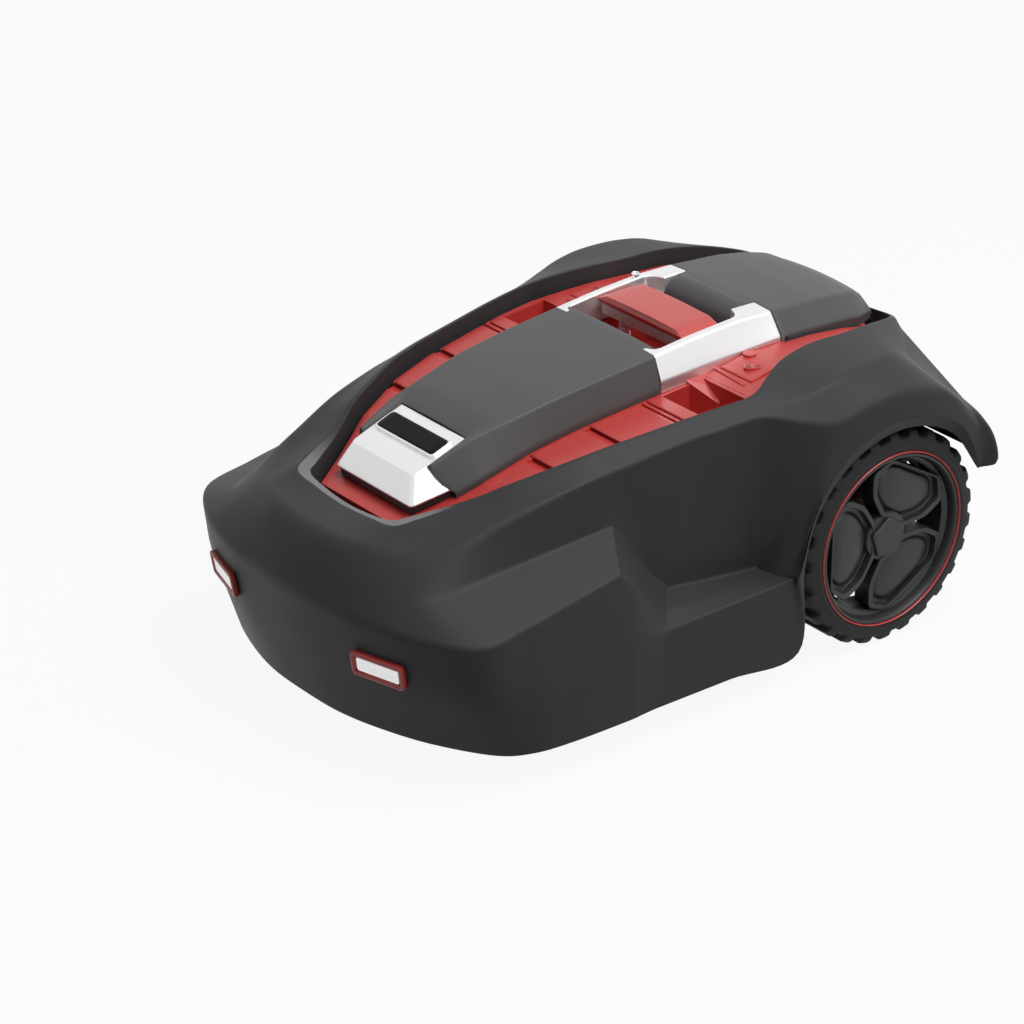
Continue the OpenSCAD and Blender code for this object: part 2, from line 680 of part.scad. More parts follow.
// ---------- stop bar ----------
module stop_bar() {
  color("#c4241c") at(0, stop_y + stop_w / 2, 0) rotate([90, 0, 0]) linear_extrude(stop_w) polygon([
    [stop_x - 1.5, stop_low], [stop_x - 1, stop_low + 3], [stop_x - 7, stop_top - 3],
    [stop_x / 2, stop_top - 0.8], [0, stop_top], [-stop_x / 2, stop_top - 0.8],
    [7 - stop_x, stop_top - 3], [1 - stop_x, stop_low + 3], [1.5 - stop_x, stop_low]
  ]);
}
module stop_grip() {
  foot = well_z - deck_t - seat_gap;
  color("#e8e8e8") union() {
    block([-stop_x + 4, stop_y - stop_w / 2 + 3, stop_low - grip_h],
      [stop_x - 4, stop_y + stop_w / 2 - 3, stop_low]);
    both_sides() at(leg_x, stop_y, foot - 2) {
      cylinder(d = leg_d, h = stop_low - grip_h - foot + 3);
      cylinder(d = leg_d + 4, h = 2);
    }
  }
}
// The turns are spaced so that the springs can close by the bar's travel
module stop_springs() {
  base = well_z + guide_h + seat_gap;
  h = stop_low - grip_h - seat_gap - base;
  color("#a0a0a0") both_sides() at(leg_x, stop_y, base)
    coil(leg_d / 2 + 1.8, spring_wire, floor((h - stop_travel) / (4.5 * spring_wire)), h);
}

// ---------- lid and control panel ----------
module rear_lid() {
  ys = [lid_front, 212 * ky, 241 * ky, 262 * ky, lid_rear];
  color("#5f5f60") difference() {
    union() {
      loft([for (y = ys) arch_ring(y, skirt_x(y), lid_low,
        lookup(y / ky, [[160, 251], [241, 247], [273, 243]]), spine_x(y), spine_z(y))], true);
      // Rear wall
      loft([for (y = [lid_rear - cover_t, lid_rear]) [for (p = [
        [skirt_x(y) - 1, lid_low], [skirt_x(y) - 1, 243], [spine_x(y) - 1, spine_z(y) - 1],
        [1 - spine_x(y), spine_z(y) - 1], [1 - skirt_x(y), 243], [1 - skirt_x(y), lid_low]])
        [p.x, y, p.y]]]);
      // Barrel with its two end webs
      intersection() {
        at(0, barrel_y, barrel_z) difference() {
          bar_x(2 * barrel_r, side_gap - notch_x, notch_x - side_gap);
          bar_x(2 * (barrel_r - cover_t), side_gap + 4 - notch_x, notch_x - side_gap - 4);
        }
        side_prism([[barrel_y - 30, barrel_z - 30], [barrel_y - 4, barrel_z - 30], [barrel_y + 4, barrel_z],
          [barrel_y + 4, barrel_z + 30], [barrel_y - 30, barrel_z + 30]], -notch_x, notch_x);
      }
      block([side_gap - notch_x, barrel_y, barrel_z + barrel_r - cover_t],
        [notch_x - side_gap, lid_front + 3, barrel_z + barrel_r]);
    }
    at(0, hinge_y, hinge_z) bar_x(pin_d, -notch_x - 1, notch_x + 1);
  }
}
module lid_pins() {
  color("#b8b8b8") both_sides() at(0, hinge_y, hinge_z) bar_x(pin_d, notch_x - side_gap - 4, notch_x + 8);
}
module control_panel() {
  color("#3a3a3c") difference() {
    block([-panel_x, panel_front, pocket_z + 0.2], [panel_x, panel_rear, panel_z]);
    block([-panel_x + 3, panel_front + 3, pocket_z], [panel_x - 3, panel_rear - 3, panel_z - panel_t]);
    for (x = key_xs, y = key_ys) block([x - key_w / 2 - side_gap, y - key_l / 2 - side_gap, pocket_z],
      [x + key_w / 2 + side_gap, y + key_l / 2 + side_gap, panel_z + 1]);
    block([display_x - display_w / 2, display_y - display_l / 2, panel_z - 1.5],
      [display_x + display_w / 2, display_y + display_l / 2, panel_z + 1]);
    at(0, screw_y, pocket_z) cylinder(d = screw_d + 2, h = 10);
  }
}
module display_window() {
  color("#20303a") block([display_x - display_w / 2 + 0.2, display_y - display_l / 2 + 0.2, panel_z - 1.4],
    [display_x + display_w / 2 - 0.2, display_y + display_l / 2 - 0.2, panel_z + 0.1]);
}
// A key whose flange is held under the panel
module key(i, j, tint) {
  color(tint) at(key_xs[i], key_ys[j], 0) union() {
    block([-key_w / 2, -key_l / 2, panel_z - panel_t - 1.5],
      [key_w / 2, key_l / 2, panel_z + key_travel + 1]);
    block([-key_w / 2 - 1.6, -key_l / 2 - 1.6, panel_z - panel_t - 1.5],
      [key_w / 2 + 1.6, key_l / 2 + 1.6, panel_z - panel_t - seat_gap]);
  }
}
module key_power() { key(0, 0, "#c4241c"); }
module key_start() { key(1, 0, "#3f8f4a"); }
module key_home() { key(0, 1, "#c8c8c8"); }
module key_ok() { key(1, 1, "#c8c8c8"); }
module height_knob() {
  color("#2c2c2e") at(0, screw_y, panel_z + seat_gap) difference() {
    union() {
      cylinder(d = knob_d, h = knob_h * 0.4);
      cylinder(d = knob_d * 0.8, h = knob_h);
    }
    translate([0, 0, -1]) cylinder(d = screw_d, h = knob_h - 4);
  }
}
module height_screw() {
  color("#b8b8b8") at(0, screw_y, floor_z + seat_gap)
    cylinder(d = screw_d, h = panel_z + knob_h - 5 - floor_z);
}

// ---------- cutter ----------
module cutter_carriage() {
  color("#4a4c50") difference() {
    union() {
      block([-guide_x - 12, disc_y - 30, carriage_z], [guide_x + 12, disc_y + 30, carriage_z + carriage_t]);
      block([-10, disc_y, carriage_z], [10, screw_y, carriage_z + carriage_t]);
      at(0, screw_y, carriage_z) cylinder(d = screw_d + 14, h = nut_h);
      both_sides() at(guide_x, disc_y, carriage_z) cylinder(d = post_d + 10, h = nut_h);
    }
    at(0, screw_y, carriage_z - 1) cylinder(d = screw_d + 2 * run_gap, h = nut_h + 5);
    both_sides() at(guide_x, disc_y, carriage_z - 1) cylinder(d = post_d + 2 * run_gap, h = nut_h + 5);
  }
}
module blade_motor() {
  color("#6d6f72") at(0, disc_y, carriage_z - blade_motor_h) difference() {
    cylinder(d = blade_motor_d, h = blade_motor_h);
    translate([0, 0, -1]) cylinder(d = shaft_d + 2 * run_gap, h = blade_motor_h - 8);
  }
}
module motor_shaft() {
  color("#b8b8b8") at(0, disc_y, disc_top - disc_t)
    cylinder(d = shaft_d, h = carriage_z - 12 - disc_top + disc_t);
}
module blade_disc() {
  color("#c9662a") at(0, disc_y, disc_top - disc_t) difference() {
    union() {
      cylinder(d = disc_d, h = disc_t);
      cylinder(d = 24, h = disc_t + 5);
    }
    translate([0, 0, -1]) cylinder(d = shaft_d, h = 20);
    for (a = [90, 210, 330]) rotate([0, 0, a]) at(pivot_r, 0, -1) cylinder(d = 4, h = disc_t + 2);
    for (a = [30, 150, 270]) rotate([0, 0, a]) at(disc_d / 4, 0, -1) cylinder(d = 16, h = disc_t + 2);
  }
}
module blade_screws() {
  color("#909090") for (a = [90, 210, 330])
    at(0, disc_y, disc_top - disc_t - seat_gap - blade_t - 2) rotate([0, 0, a])
    at(pivot_r, 0, 0) {
      cylinder(d = 3.9, h = disc_t + seat_gap + blade_t + 2);
      cylinder(d = 8, h = 1.7);
    }
}
module blade(a) {
  color("#d4d4d4") at(0, disc_y, disc_top - disc_t - seat_gap - blade_t) rotate([0, 0, a])
    at(pivot_r, 0, 0) linear_extrude(blade_t)
    difference() {
      polygon([[-5, -7], [-7, -5], [-7, 5], [-5, 7],
        [blade_l - 9, 7], [blade_l - 6, 4], [blade_l - 6, -4], [blade_l - 9, -7]]);
      circle(d = 3.9 + 2 * run_gap);
    }
}
module blade_1() { blade(90); }
module blade_2() { blade(210); }
module blade_3() { blade(330); }

// ---------- wheels ----------
// Moves a child, drawn with its axis along +Z and its face up, to the left wheel
module on_wheel() { translate([wheel_out, axle_y, axle_z]) rotate([0, 90, 0]) children(); }
module tyre() {
  pitch = 360 / lugs;
  lug_w = 0.6 * tread_r * sin(pitch);
  top = wheel_d / 2;
  // One lug is centred at the bottom of the wheel
  color("#262627") on_wheel() translate([0, 0, -tyre_w]) union() {
    tube(2 * tread_r, ring_d, tyre_w);
    for (i = [0 : lugs - 1])
      rotate([90, 0, i * pitch]) translate([0, 0, -lug_w / 2]) linear_extrude(lug_w) polygon([
      [tread_r - 3, 1], [tread_r + 1, 1], [top, 5],
        [top, tyre_w - 5], [tread_r + 1, tyre_w - 1], [tread_r - 3, tyre_w - 1]
    ]);
  }
}
module ring() {
  color("#b01a14") on_wheel() translate([0, 0, -6]) tube(ring_d, 2 * rim_r, 6);
}
module rim() {
  web = 8;
  color("#2f2f31") on_wheel() difference() {
    union() {
      translate([0, 0, -tyre_w + 2]) tube(2 * rim_r, 2 * rim_r - 8, tyre_w - 2);
      translate([0, 0, -tyre_w + 2]) tube(ring_d, 2 * rim_r - 1, tyre_w - 9);
      // Three convex pods between the hub and the rim
      for (a = [30, 150, 270]) rotate([0, 0, a]) intersection() {
        at(rim_r * 0.56, 0, -22) cylinder(r = rim_r * 0.36, h = 14);
        at(0, 0, -22) cylinder(r = rim_r - 2, h = 14);
      }
      for (a = [30, 150, 270]) rotate([0, 0, a]) block([0, -7, -24], [rim_r - 2, 7, -24 + web]);
      at(0, 0, -30) cylinder(r = hub_r, h = 24);
    }
    at(0, 0, -31) cylinder(d = axle_d, h = 22);
  }
}
module hub_cap() {
  color("#3a3a3c") on_wheel() at(0, 0, -6) rotate([0, 0, 18]) cylinder(r = hub_r - 2, h = 3, $fn = 5);
}
module drive_shaft() {
  inner = pan_x - pan_t - gearbox_l + 8;
  color("#b8b8b8") at(0, axle_y, axle_z) bar_x(axle_d, inner, wheel_out - 10);
}
module tyre_left() { tyre(); }
module ring_left() { ring(); }
module rim_left() { rim(); }
module hub_cap_left() { hub_cap(); }
module drive_shaft_left() { drive_shaft(); }
module tyre_right() { mirror([1, 0, 0]) tyre(); }
module ring_right() { mirror([1, 0, 0]) ring(); }
module rim_right() { mirror([1, 0, 0]) rim(); }
module hub_cap_right() { mirror([1, 0, 0]) hub_cap(); }
module drive_shaft_right() { mirror([1, 0, 0]) drive_shaft(); }

// ---------- casters ----------
module caster_fork() {
  inner = caster_w / 2 + 1.5;
  boss_top = well_top + boss_h;
  color("#2a2a2c") at(caster_track / 2, caster_y, 0) difference() {
    union() {
      block([-inner - arm_t, -14, crown_low], [inner + arm_t, caster_trail + 4, crown_low + crown_t]);
      both_sides() {
        side_prism([[-14, crown_low + 1], [caster_trail + 4, crown_low + 1], [caster_trail + 8, caster_d / 2],
          [caster_trail - 8, caster_d / 2]], inner, inner + arm_t);
        at(0, caster_trail, caster_d / 2) bar_x(17, inner, inner + arm_t);
      }
      cylinder_at(stem_d + 8, crown_low + crown_t - 1, well_top - seat_gap);
      cylinder_at(stem_d, crown_low + crown_t - 1, boss_top + 3);
      cylinder_at(stem_d + 5, boss_top + seat_gap, boss_top + 3);
    }
    at(0, caster_trail, caster_d / 2) bar_x(caster_axle_d, -inner - arm_t - 1, inner + arm_t + 1);
  }
}
module cylinder_at(d, z0, z1) { translate([0, 0, z0]) cylinder(d = d, h = z1 - z0); }
module caster_axle() {
  half = caster_w / 2 + 1.5 + arm_t;
  color("#b8b8b8") at(caster_track / 2, caster_y + caster_trail, caster_d / 2)
    bar_x(caster_axle_d, -half, half);
}
module caster_wheel() {
  r = caster_d / 2;
  color("#262627") at(caster_track / 2 - caster_w / 2, caster_y + caster_trail, r)
    rotate([0, 90, 0]) rotate_extrude() polygon([
    [caster_axle_d / 2 + run_gap, 0], [r - 5, 0], [r - 1, 3],
    [r, caster_w / 2], [r - 1, caster_w - 3], [r - 5, caster_w],
    [caster_axle_d / 2 + run_gap, caster_w]
  ]);
}
module caster_fork_left() { caster_fork(); }
module caster_axle_left() { caster_axle(); }
module caster_wheel_left() { caster_wheel(); }
module caster_fork_right() { mirror([1, 0, 0]) caster_fork(); }
module caster_axle_right() { mirror([1, 0, 0]) caster_axle(); }
module caster_wheel_right() { mirror([1, 0, 0]) caster_wheel(); }

outer_shell();
shell_cups();
contact_frames();
contact_plates();
lower_chassis();
upper_chassis();
deck_tray();
side_trays();
shell_posts();
chassis_screws();
battery_pack();
battery_cover();
battery_screws();
control_box();
drive_motor_left();
drive_motor_right();
guide_posts();
height_screw();
front_cover();
nose_piece();
badge_plate();
mid_frame();
rain_sensor();
control_panel();
display_window();
stop_bar();
stop_grip();
stop_springs();
rear_lid();
lid_pins();
key_power();
key_start();
key_home();
key_ok();
height_knob();
cutter_carriage();
blade_motor();
motor_shaft();
blade_disc();
blade_screws();
blade_1();
blade_2();
blade_3();
tyre_left();
ring_left();
rim_left();
hub_cap_left();
drive_shaft_left();
tyre_right();
ring_right();
rim_right();
hub_cap_right();
drive_shaft_right();
caster_fork_left();
caster_axle_left();
caster_wheel_left();
caster_fork_right();
caster_axle_right();
caster_wheel_right();
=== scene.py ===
"""Robotic lawn mower: the looks of every surface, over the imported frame.

Front is -Y, the mower's left side is +X, and lengths in the helpers are millimetres.
"""
import json
import math

import bpy
import numpy as np
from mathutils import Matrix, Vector


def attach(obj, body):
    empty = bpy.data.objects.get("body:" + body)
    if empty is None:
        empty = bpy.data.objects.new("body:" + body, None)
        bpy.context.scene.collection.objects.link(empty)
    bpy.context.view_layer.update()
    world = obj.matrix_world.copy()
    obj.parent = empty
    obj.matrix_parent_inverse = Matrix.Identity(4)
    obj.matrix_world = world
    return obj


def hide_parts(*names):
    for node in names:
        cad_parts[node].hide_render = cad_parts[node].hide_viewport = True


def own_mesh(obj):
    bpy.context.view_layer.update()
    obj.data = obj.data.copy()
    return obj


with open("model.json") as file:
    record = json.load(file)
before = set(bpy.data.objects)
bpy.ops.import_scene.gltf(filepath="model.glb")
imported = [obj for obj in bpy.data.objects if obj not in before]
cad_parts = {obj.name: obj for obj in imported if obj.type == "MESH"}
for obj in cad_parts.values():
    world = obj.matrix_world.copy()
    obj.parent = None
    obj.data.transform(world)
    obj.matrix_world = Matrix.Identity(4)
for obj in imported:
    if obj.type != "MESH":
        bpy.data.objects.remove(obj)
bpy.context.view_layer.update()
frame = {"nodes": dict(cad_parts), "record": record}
MM = 0.001


# ---------------------------------------------------------------- camera, lights, floor

def add_camera(aim, place, lens):
    """Looks from place to aim, both in metres."""
    data = bpy.data.cameras.new("camera")
    data.lens = lens
    data.sensor_width = 36
    data.clip_end = 50
    cam = bpy.data.objects.new("camera", data)
    cam.location = place
    cam.rotation_euler = (Vector(aim) - Vector(place)).to_track_quat("-Z", "Y").to_euler()
    bpy.context.collection.objects.link(cam)
    bpy.context.scene.camera = cam


def add_softbox(name, place, aim, size, power):
    """A rectangular area light at place, turned to aim."""
    data = bpy.data.lights.new(name, "AREA")
    data.shape = "RECTANGLE"
    data.size, data.size_y = size
    data.energy = power
    lamp = bpy.data.objects.new(name, data)
    lamp.location = place
    lamp.rotation_euler = (Vector(aim) - Vector(place)).to_track_quat("-Z", "Y").to_euler()
    bpy.context.collection.objects.link(lamp)


def seen_ray(nodes, links):
    """1 for rays from the camera, in a mirror or through glass, else 0."""
    path = nodes.new("ShaderNodeLightPath")
    total = path.outputs["Is Camera Ray"]
    for name in ("Is Glossy Ray", "Is Transmission Ray"):
        add = nodes.new("ShaderNodeMath")
        add.operation = "ADD"
        add.use_clamp = True
        links.new(total, add.inputs[0])
        links.new(path.outputs[name], add.inputs[1])
        total = add.outputs[0]
    return total


def set_world(light, strength):
    """White where the camera or a reflection sees it, a soft grey light elsewhere."""
    world = bpy.data.worlds.new("studio")
    bpy.context.scene.world = world
    world.use_nodes = True
    nodes, links = world.node_tree.nodes, world.node_tree.links
    nodes.clear()
    out = nodes.new("ShaderNodeOutputWorld")
    mix = nodes.new("ShaderNodeMixShader")
    soft = nodes.new("ShaderNodeBackground")
    soft.inputs["Color"].default_value = (light, light, light, 1)
    soft.inputs["Strength"].default_value = strength
    white = nodes.new("ShaderNodeBackground")
    white.inputs["Color"].default_value = (1, 1, 1, 1)
    links.new(seen_ray(nodes, links), mix.inputs[0])
    links.new(soft.outputs[0], mix.inputs[1])
    links.new(white.outputs[0], mix.inputs[2])
    links.new(mix.outputs[0], out.inputs[0])


def tint(nodes, links, factor, a, b):
    """Colour from a to b by factor."""
    node = nodes.new("ShaderNodeMix")
    node.data_type = "RGBA"
    node.inputs["A"].default_value = (*a, 1)
    node.inputs["B"].default_value = (*b, 1)
    links.new(factor, node.inputs["Factor"])
    return node.outputs["Result"]


def add_floor(size, lift):
    """A pale floor that still shows the mower's shadow. lift is the share of plain white."""
    mesh = bpy.data.meshes.new("floor")
    half = size / 2
    corners = [(-half, -half, 0), (half, -half, 0), (half, half, 0), (-half, half, 0)]
    mesh.from_pydata(corners, [], [(0, 1, 2, 3)])
    floor = bpy.data.objects.new("floor", mesh)
    bpy.context.collection.objects.link(floor)
    mat = bpy.data.materials.new("floor")
    mat.use_nodes = True
    nodes, links = mat.node_tree.nodes, mat.node_tree.links
    nodes.clear()
    out = nodes.new("ShaderNodeOutputMaterial")
    seen = seen_ray(nodes, links)
    paint = nodes.new("ShaderNodeBsdfDiffuse")
    links.new(tint(nodes, links, seen, (0.15, 0.15, 0.15), (0.86, 0.86, 0.86)), paint.inputs["Color"])
    glow = nodes.new("ShaderNodeEmission")
    glow.inputs["Color"].default_value = (1, 1, 1, 1)
    share = nodes.new("ShaderNodeMath")
    share.operation = "MULTIPLY"
    share.inputs[1].default_value = lift
    mix = nodes.new("ShaderNodeMixShader")
    links.new(seen, share.inputs[0])
    links.new(share.outputs[0], mix.inputs[0])
    links.new(paint.outputs[0], mix.inputs[1])
    links.new(glow.outputs[0], mix.inputs[2])
    below = nodes.new("ShaderNodeNewGeometry")
    clear = nodes.new("ShaderNodeBsdfTransparent")
    side = nodes.new("ShaderNodeMixShader")
    links.new(below.outputs["Backfacing"], side.inputs[0])
    links.new(mix.outputs[0], side.inputs[1])
    links.new(clear.outputs[0], side.inputs[2])
    links.new(side.outputs[0], out.inputs[0])
    mesh.materials.append(mat)


scene = bpy.context.scene
scene.view_settings.view_transform = "Standard"
add_camera((0.0407, -0.0976, 0.1509), (2.2820, -1.8643, 1.5536), 136.34)
add_softbox("top", (0.9, 0.5, 2.5), (0, 0, 0.15), (2.0, 2.0), 50)
add_softbox("front", (-0.6, -2.4, 1.5), (0, -0.1, 0.1), (1.6, 1.2), 0.7)
add_softbox("side", (2.3, -0.3, 2.1), (0.1, -0.1, 0.15), (1.2, 0.8), 9)
set_world(1.0, 0.06)
add_floor(14, 0.92)


# ---------------------------------------------------------------- materials

# The middle of a noise's values, where most of them lie
NOISE_BAND = (0.3, 0.7)


def principled(mat):
    return mat.node_tree.nodes["Principled BSDF"]


def shader(name):
    """A new material and its node tree, with one Principled shader."""
    mat = bpy.data.materials.new(name)
    mat.use_nodes = True
    return mat, mat.node_tree.nodes, mat.node_tree.links, principled(mat)


def noise(nodes, links, coords, scale, detail):
    """A noise texture's value on Object coordinates."""
    tex = nodes.new("ShaderNodeTexNoise")
    tex.inputs["Scale"].default_value = scale
    tex.inputs["Detail"].default_value = detail
    links.new(coords.outputs["Object"], tex.inputs["Vector"])
    return tex.outputs["Fac"]


def ramp(nodes, links, value, a, b):
    """Maps the middle of a noise's values to a..b."""
    node = nodes.new("ShaderNodeMapRange")
    for key, v in zip(("From Min", "From Max", "To Min", "To Max"), (*NOISE_BAND, a, b)):
        node.inputs[key].default_value = v
    links.new(value, node.inputs["Value"])
    return node.outputs[0]


def plastic(name, color, rough=0.45, grain=900.0, depth=0.03, vary=0.06, coat=0.0, specular=0.5):
    """Moulded plastic: fine grain in the bump, faint wide clouding in colour and gloss."""
    mat, nodes, links, bsdf = shader(name)
    coords = nodes.new("ShaderNodeTexCoord")
    cloud = noise(nodes, links, coords, 9.0, 4.0)
    fine = noise(nodes, links, coords, grain, 2.0)
    dark = tuple(c * (1 - vary) for c in color)
    light = tuple(min(1.0, c * (1 + vary)) for c in color)
    share = ramp(nodes, links, cloud, 0, 1)
    links.new(tint(nodes, links, share, dark, light), bsdf.inputs["Base Color"])
    links.new(ramp(nodes, links, cloud, rough - 0.03, rough + 0.04), bsdf.inputs["Roughness"])
    bsdf.inputs["Specular IOR Level"].default_value = specular
    bsdf.inputs["Coat Weight"].default_value = coat
    bsdf.inputs["Coat Roughness"].default_value = 0.12
    bump = nodes.new("ShaderNodeBump")
    bump.inputs["Strength"].default_value = depth
    bump.inputs["Distance"].default_value = 0.001
    links.new(fine, bump.inputs["Height"])
    links.new(bump.outputs[0], bsdf.inputs["Normal"])
    return mat


def metal(name, color, rough=0.3, streak=(40.0, 40.0, 900.0), depth=0.05):
    """Drawn or cast metal: a noise stretched along the grain moves the gloss."""
    mat, nodes, links, bsdf = shader(name)
    coords = nodes.new("ShaderNodeTexCoord")
    place = nodes.new("ShaderNodeMapping")
    place.inputs["Scale"].default_value = streak
    links.new(coords.outputs["Object"], place.inputs["Vector"])
    tex = nodes.new("ShaderNodeTexNoise")
    tex.inputs["Scale"].default_value = 1.0
    tex.inputs["Detail"].default_value = 3.0
    links.new(place.outputs[0], tex.inputs["Vector"])
    dark = tuple(c * 0.9 for c in color)
    links.new(tint(nodes, links, tex.outputs["Fac"], dark, color), bsdf.inputs["Base Color"])
    gloss = ramp(nodes, links, tex.outputs["Fac"], rough * 0.8, rough * 1.25)
    links.new(gloss, bsdf.inputs["Roughness"])
    bsdf.inputs["Metallic"].default_value = 1.0
    bump = nodes.new("ShaderNodeBump")
    bump.inputs["Strength"].default_value = depth
    bump.inputs["Distance"].default_value = 0.0005
    links.new(tex.outputs["Fac"], bump.inputs["Height"])
    links.new(bump.outputs[0], bsdf.inputs["Normal"])
    return mat


def painted_edge_sheen(mat, light):
    """Mixes a painted highlight, a lighter tone, into the base colour by a point attribute of the piece."""
    nodes, links = mat.node_tree.nodes, mat.node_tree.links
    bsdf = principled(mat)
    base = bsdf.inputs["Base Color"].links[0].from_socket
    share = nodes.new("ShaderNodeAttribute")
    share.attribute_name = "painted_sheen"
    mix = nodes.new("ShaderNodeMix")
    mix.data_type = "RGBA"
    links.new(share.outputs["Fac"], mix.inputs["Factor"])
    links.new(base, mix.inputs["A"])
    mix.inputs["B"].default_value = (*light, 1)
    links.new(mix.outputs["Result"], bsdf.inputs["Base Color"])
    return mat


# Charcoal shell, with a painted highlight on the opening's front chamfer
SHELL = painted_edge_sheen(
    plastic("shell_charcoal", (0.043, 0.043, 0.045), 0.5, 1400, 0.04, specular=0.2), (0.26, 0.26, 0.265))
COVER = plastic("cover_grey", (0.094, 0.094, 0.096), 0.48, 1400, 0.04, specular=0.35)
RED = plastic("deck_red", (0.62, 0.055, 0.048), 0.38, 500, 0.015, 0.05, 0.15)
RED_BAR = plastic("stop_red", (0.68, 0.085, 0.076), 0.35, 500, 0.015, 0.04, 0.2)
SILVER = plastic("frame_silver", (0.88, 0.88, 0.885), 0.3, 700, 0.01, 0.02, 0.2)
principled(SILVER).inputs["Metallic"].default_value = 0.7
WHITE = plastic("grip_white", (0.78, 0.78, 0.78), 0.45, 700, 0.02, 0.03)
BLACK = plastic("chassis_black", (0.020, 0.020, 0.021), 0.5, 900, 0.05)
BADGE = plastic("badge_black", (0.004, 0.004, 0.0045), 0.3, 400, 0.004, 0.02, 0.0, 0.1)
RIM = plastic("rim_black", (0.026, 0.026, 0.027), 0.42, 900, 0.03)
TYRE = plastic("tyre_rubber", (0.020, 0.020, 0.0205), 0.68, 350, 0.10, 0.10, 0.0, 0.35)
RUBBER = plastic("post_rubber", (0.016, 0.016, 0.016), 0.75, 350, 0.08, 0.1, 0.0, 0.3)
GREEN = plastic("key_green", (0.05, 0.27, 0.09), 0.4, 500, 0.02)
DISC = plastic("disc_orange", (0.52, 0.17, 0.03), 0.45, 600, 0.03)
GREY = plastic("carriage_grey", (0.075, 0.075, 0.08), 0.5, 600, 0.04)
STEEL = metal("bright_steel", (0.60, 0.60, 0.60), 0.28)
STRIP = metal("contact_strip", (0.80, 0.80, 0.80), 0.22, (30, 30, 400))
CAN = metal("motor_can", (0.42, 0.43, 0.44), 0.42, (200, 30, 30))
CHROME = metal("sensor_chrome", (0.82, 0.82, 0.82), 0.1, (60, 60, 60), 0.01)
GLASS = plastic("display_dark", (0.010, 0.018, 0.020), 0.12, 300, 0.0, 0.02, 0.6)


# ---------------------------------------------------------------- surface tools

# Degrees over which the edges of a closed net stay sharp
SHARP = 34
# The most that a rounded corner takes of the edges beside it
MOST_CUT = 0.46
# Where the extra points lie on a flat between two rounded corners
FLAT_HOLD = (0.08, 0.36, 0.64, 0.92)
# How far each loop of a flat cap lies from its middle, as shares of the rim
CAP_SHARES = (0.85, 0.65, 0.45, 0.25, 0.08, 0.001)


def make(name, points, faces, material, body, replaces=(), angle=38):
    """A mesh object from points in millimetres. Edges over angle degrees stay sharp."""
    mesh = bpy.data.meshes.new(name)
    faces = faces if isinstance(faces, list) else faces.tolist()
    mesh.from_pydata((np.asarray(points) * MM).tolist(), [], faces)
    mesh.materials.append(material)
    mesh.polygons.foreach_set("use_smooth", np.ones(len(mesh.polygons), bool))
    mesh.update()
    mesh.set_sharp_from_angle(angle=math.radians(angle))
    obj = bpy.data.objects.new(name, mesh)
    bpy.context.collection.objects.link(obj)
    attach(obj, body)
    if replaces:
        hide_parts(*replaces)
    return obj


def grid_faces(rows, cols, wrap_rows=False, wrap_cols=False, start=0):
    """Quads over a rows x cols grid of points, counted along the columns."""
    i = np.arange(rows if wrap_rows else rows - 1)
    j = np.arange(cols if wrap_cols else cols - 1)
    i, j = np.meshgrid(i, j, indexing="ij")
    i2, j2 = (i + 1) % rows, (j + 1) % cols
    quads = np.stack([i * cols + j, i * cols + j2, i2 * cols + j2, i2 * cols + j], -1)
    return quads.reshape(-1, 4) + start


def rounded_outline(a, b, r, n):
    """A rectangle of half sizes a and b whose corners are arcs of radius r, as (points, 2)."""
    turn = np.linspace(0, math.pi / 2, n)
    corners = []
    for k, (sx, sy) in enumerate(((1, 1), (-1, 1), (-1, -1), (1, -1))):
        t = turn + k * math.pi / 2
        corners.append(np.stack([sx * (a - r) + r * np.cos(t), sy * (b - r) + r * np.sin(t)], -1))
    return np.concatenate(corners)


def revolve(name, profile, material, body, place, axis, replaces=(), n=32, mirror=1):
    """Turns a closed profile of (radius, height) round an axis.

    An x axis runs outwards: towards +X, or towards -X where mirror is -1.
    """
    profile = np.asarray(profile, float)
    t = np.linspace(0, 2 * math.pi, n, endpoint=False)
    r, h = profile[:, 0], profile[:, 1]
    ring = np.stack([r * np.cos(t)[:, None], r * np.sin(t)[:, None], np.broadcast_to(h, (n, len(h)))], -1)
    faces = grid_faces(n, len(h), True, True)
    if axis == "x":
        ring = np.stack([ring[..., 2] * mirror, ring[..., 0], ring[..., 1]], -1)
        if mirror < 0:
            faces = faces[:, ::-1]
    points = ring + np.asarray(place)
    return make(name, points.reshape(-1, 3), faces, material, body, replaces)


def smooth(x, a, b):
    """0 before a, 1 after b, and a smooth step between."""
    t = np.clip((x - a) / (b - a), 0, 1)
    return t * t * (3 - 2 * t)


def catmull(points, sub, corners):
    """Points along a closed Catmull-Rom curve, sub to a span, with a corner at the stations in corners."""
    points = np.asarray(points, float)
    n = len(points)
    t = (np.arange(sub) / sub)[:, None]
    out = []
    for i in range(n):
        b, c = points[i], points[(i + 1) % n]
        a = 2 * b - c if i in corners else points[i - 1]
        d = 2 * c - b if (i + 1) % n in corners else points[(i + 2) % n]
        bend, twist = 2 * a - 5 * b + 4 * c - d, 3 * b - 3 * c + d - a
        out.append(0.5 * (2 * b + (c - a) * t + bend * t ** 2 + twist * t ** 3))
    return np.concatenate(out)


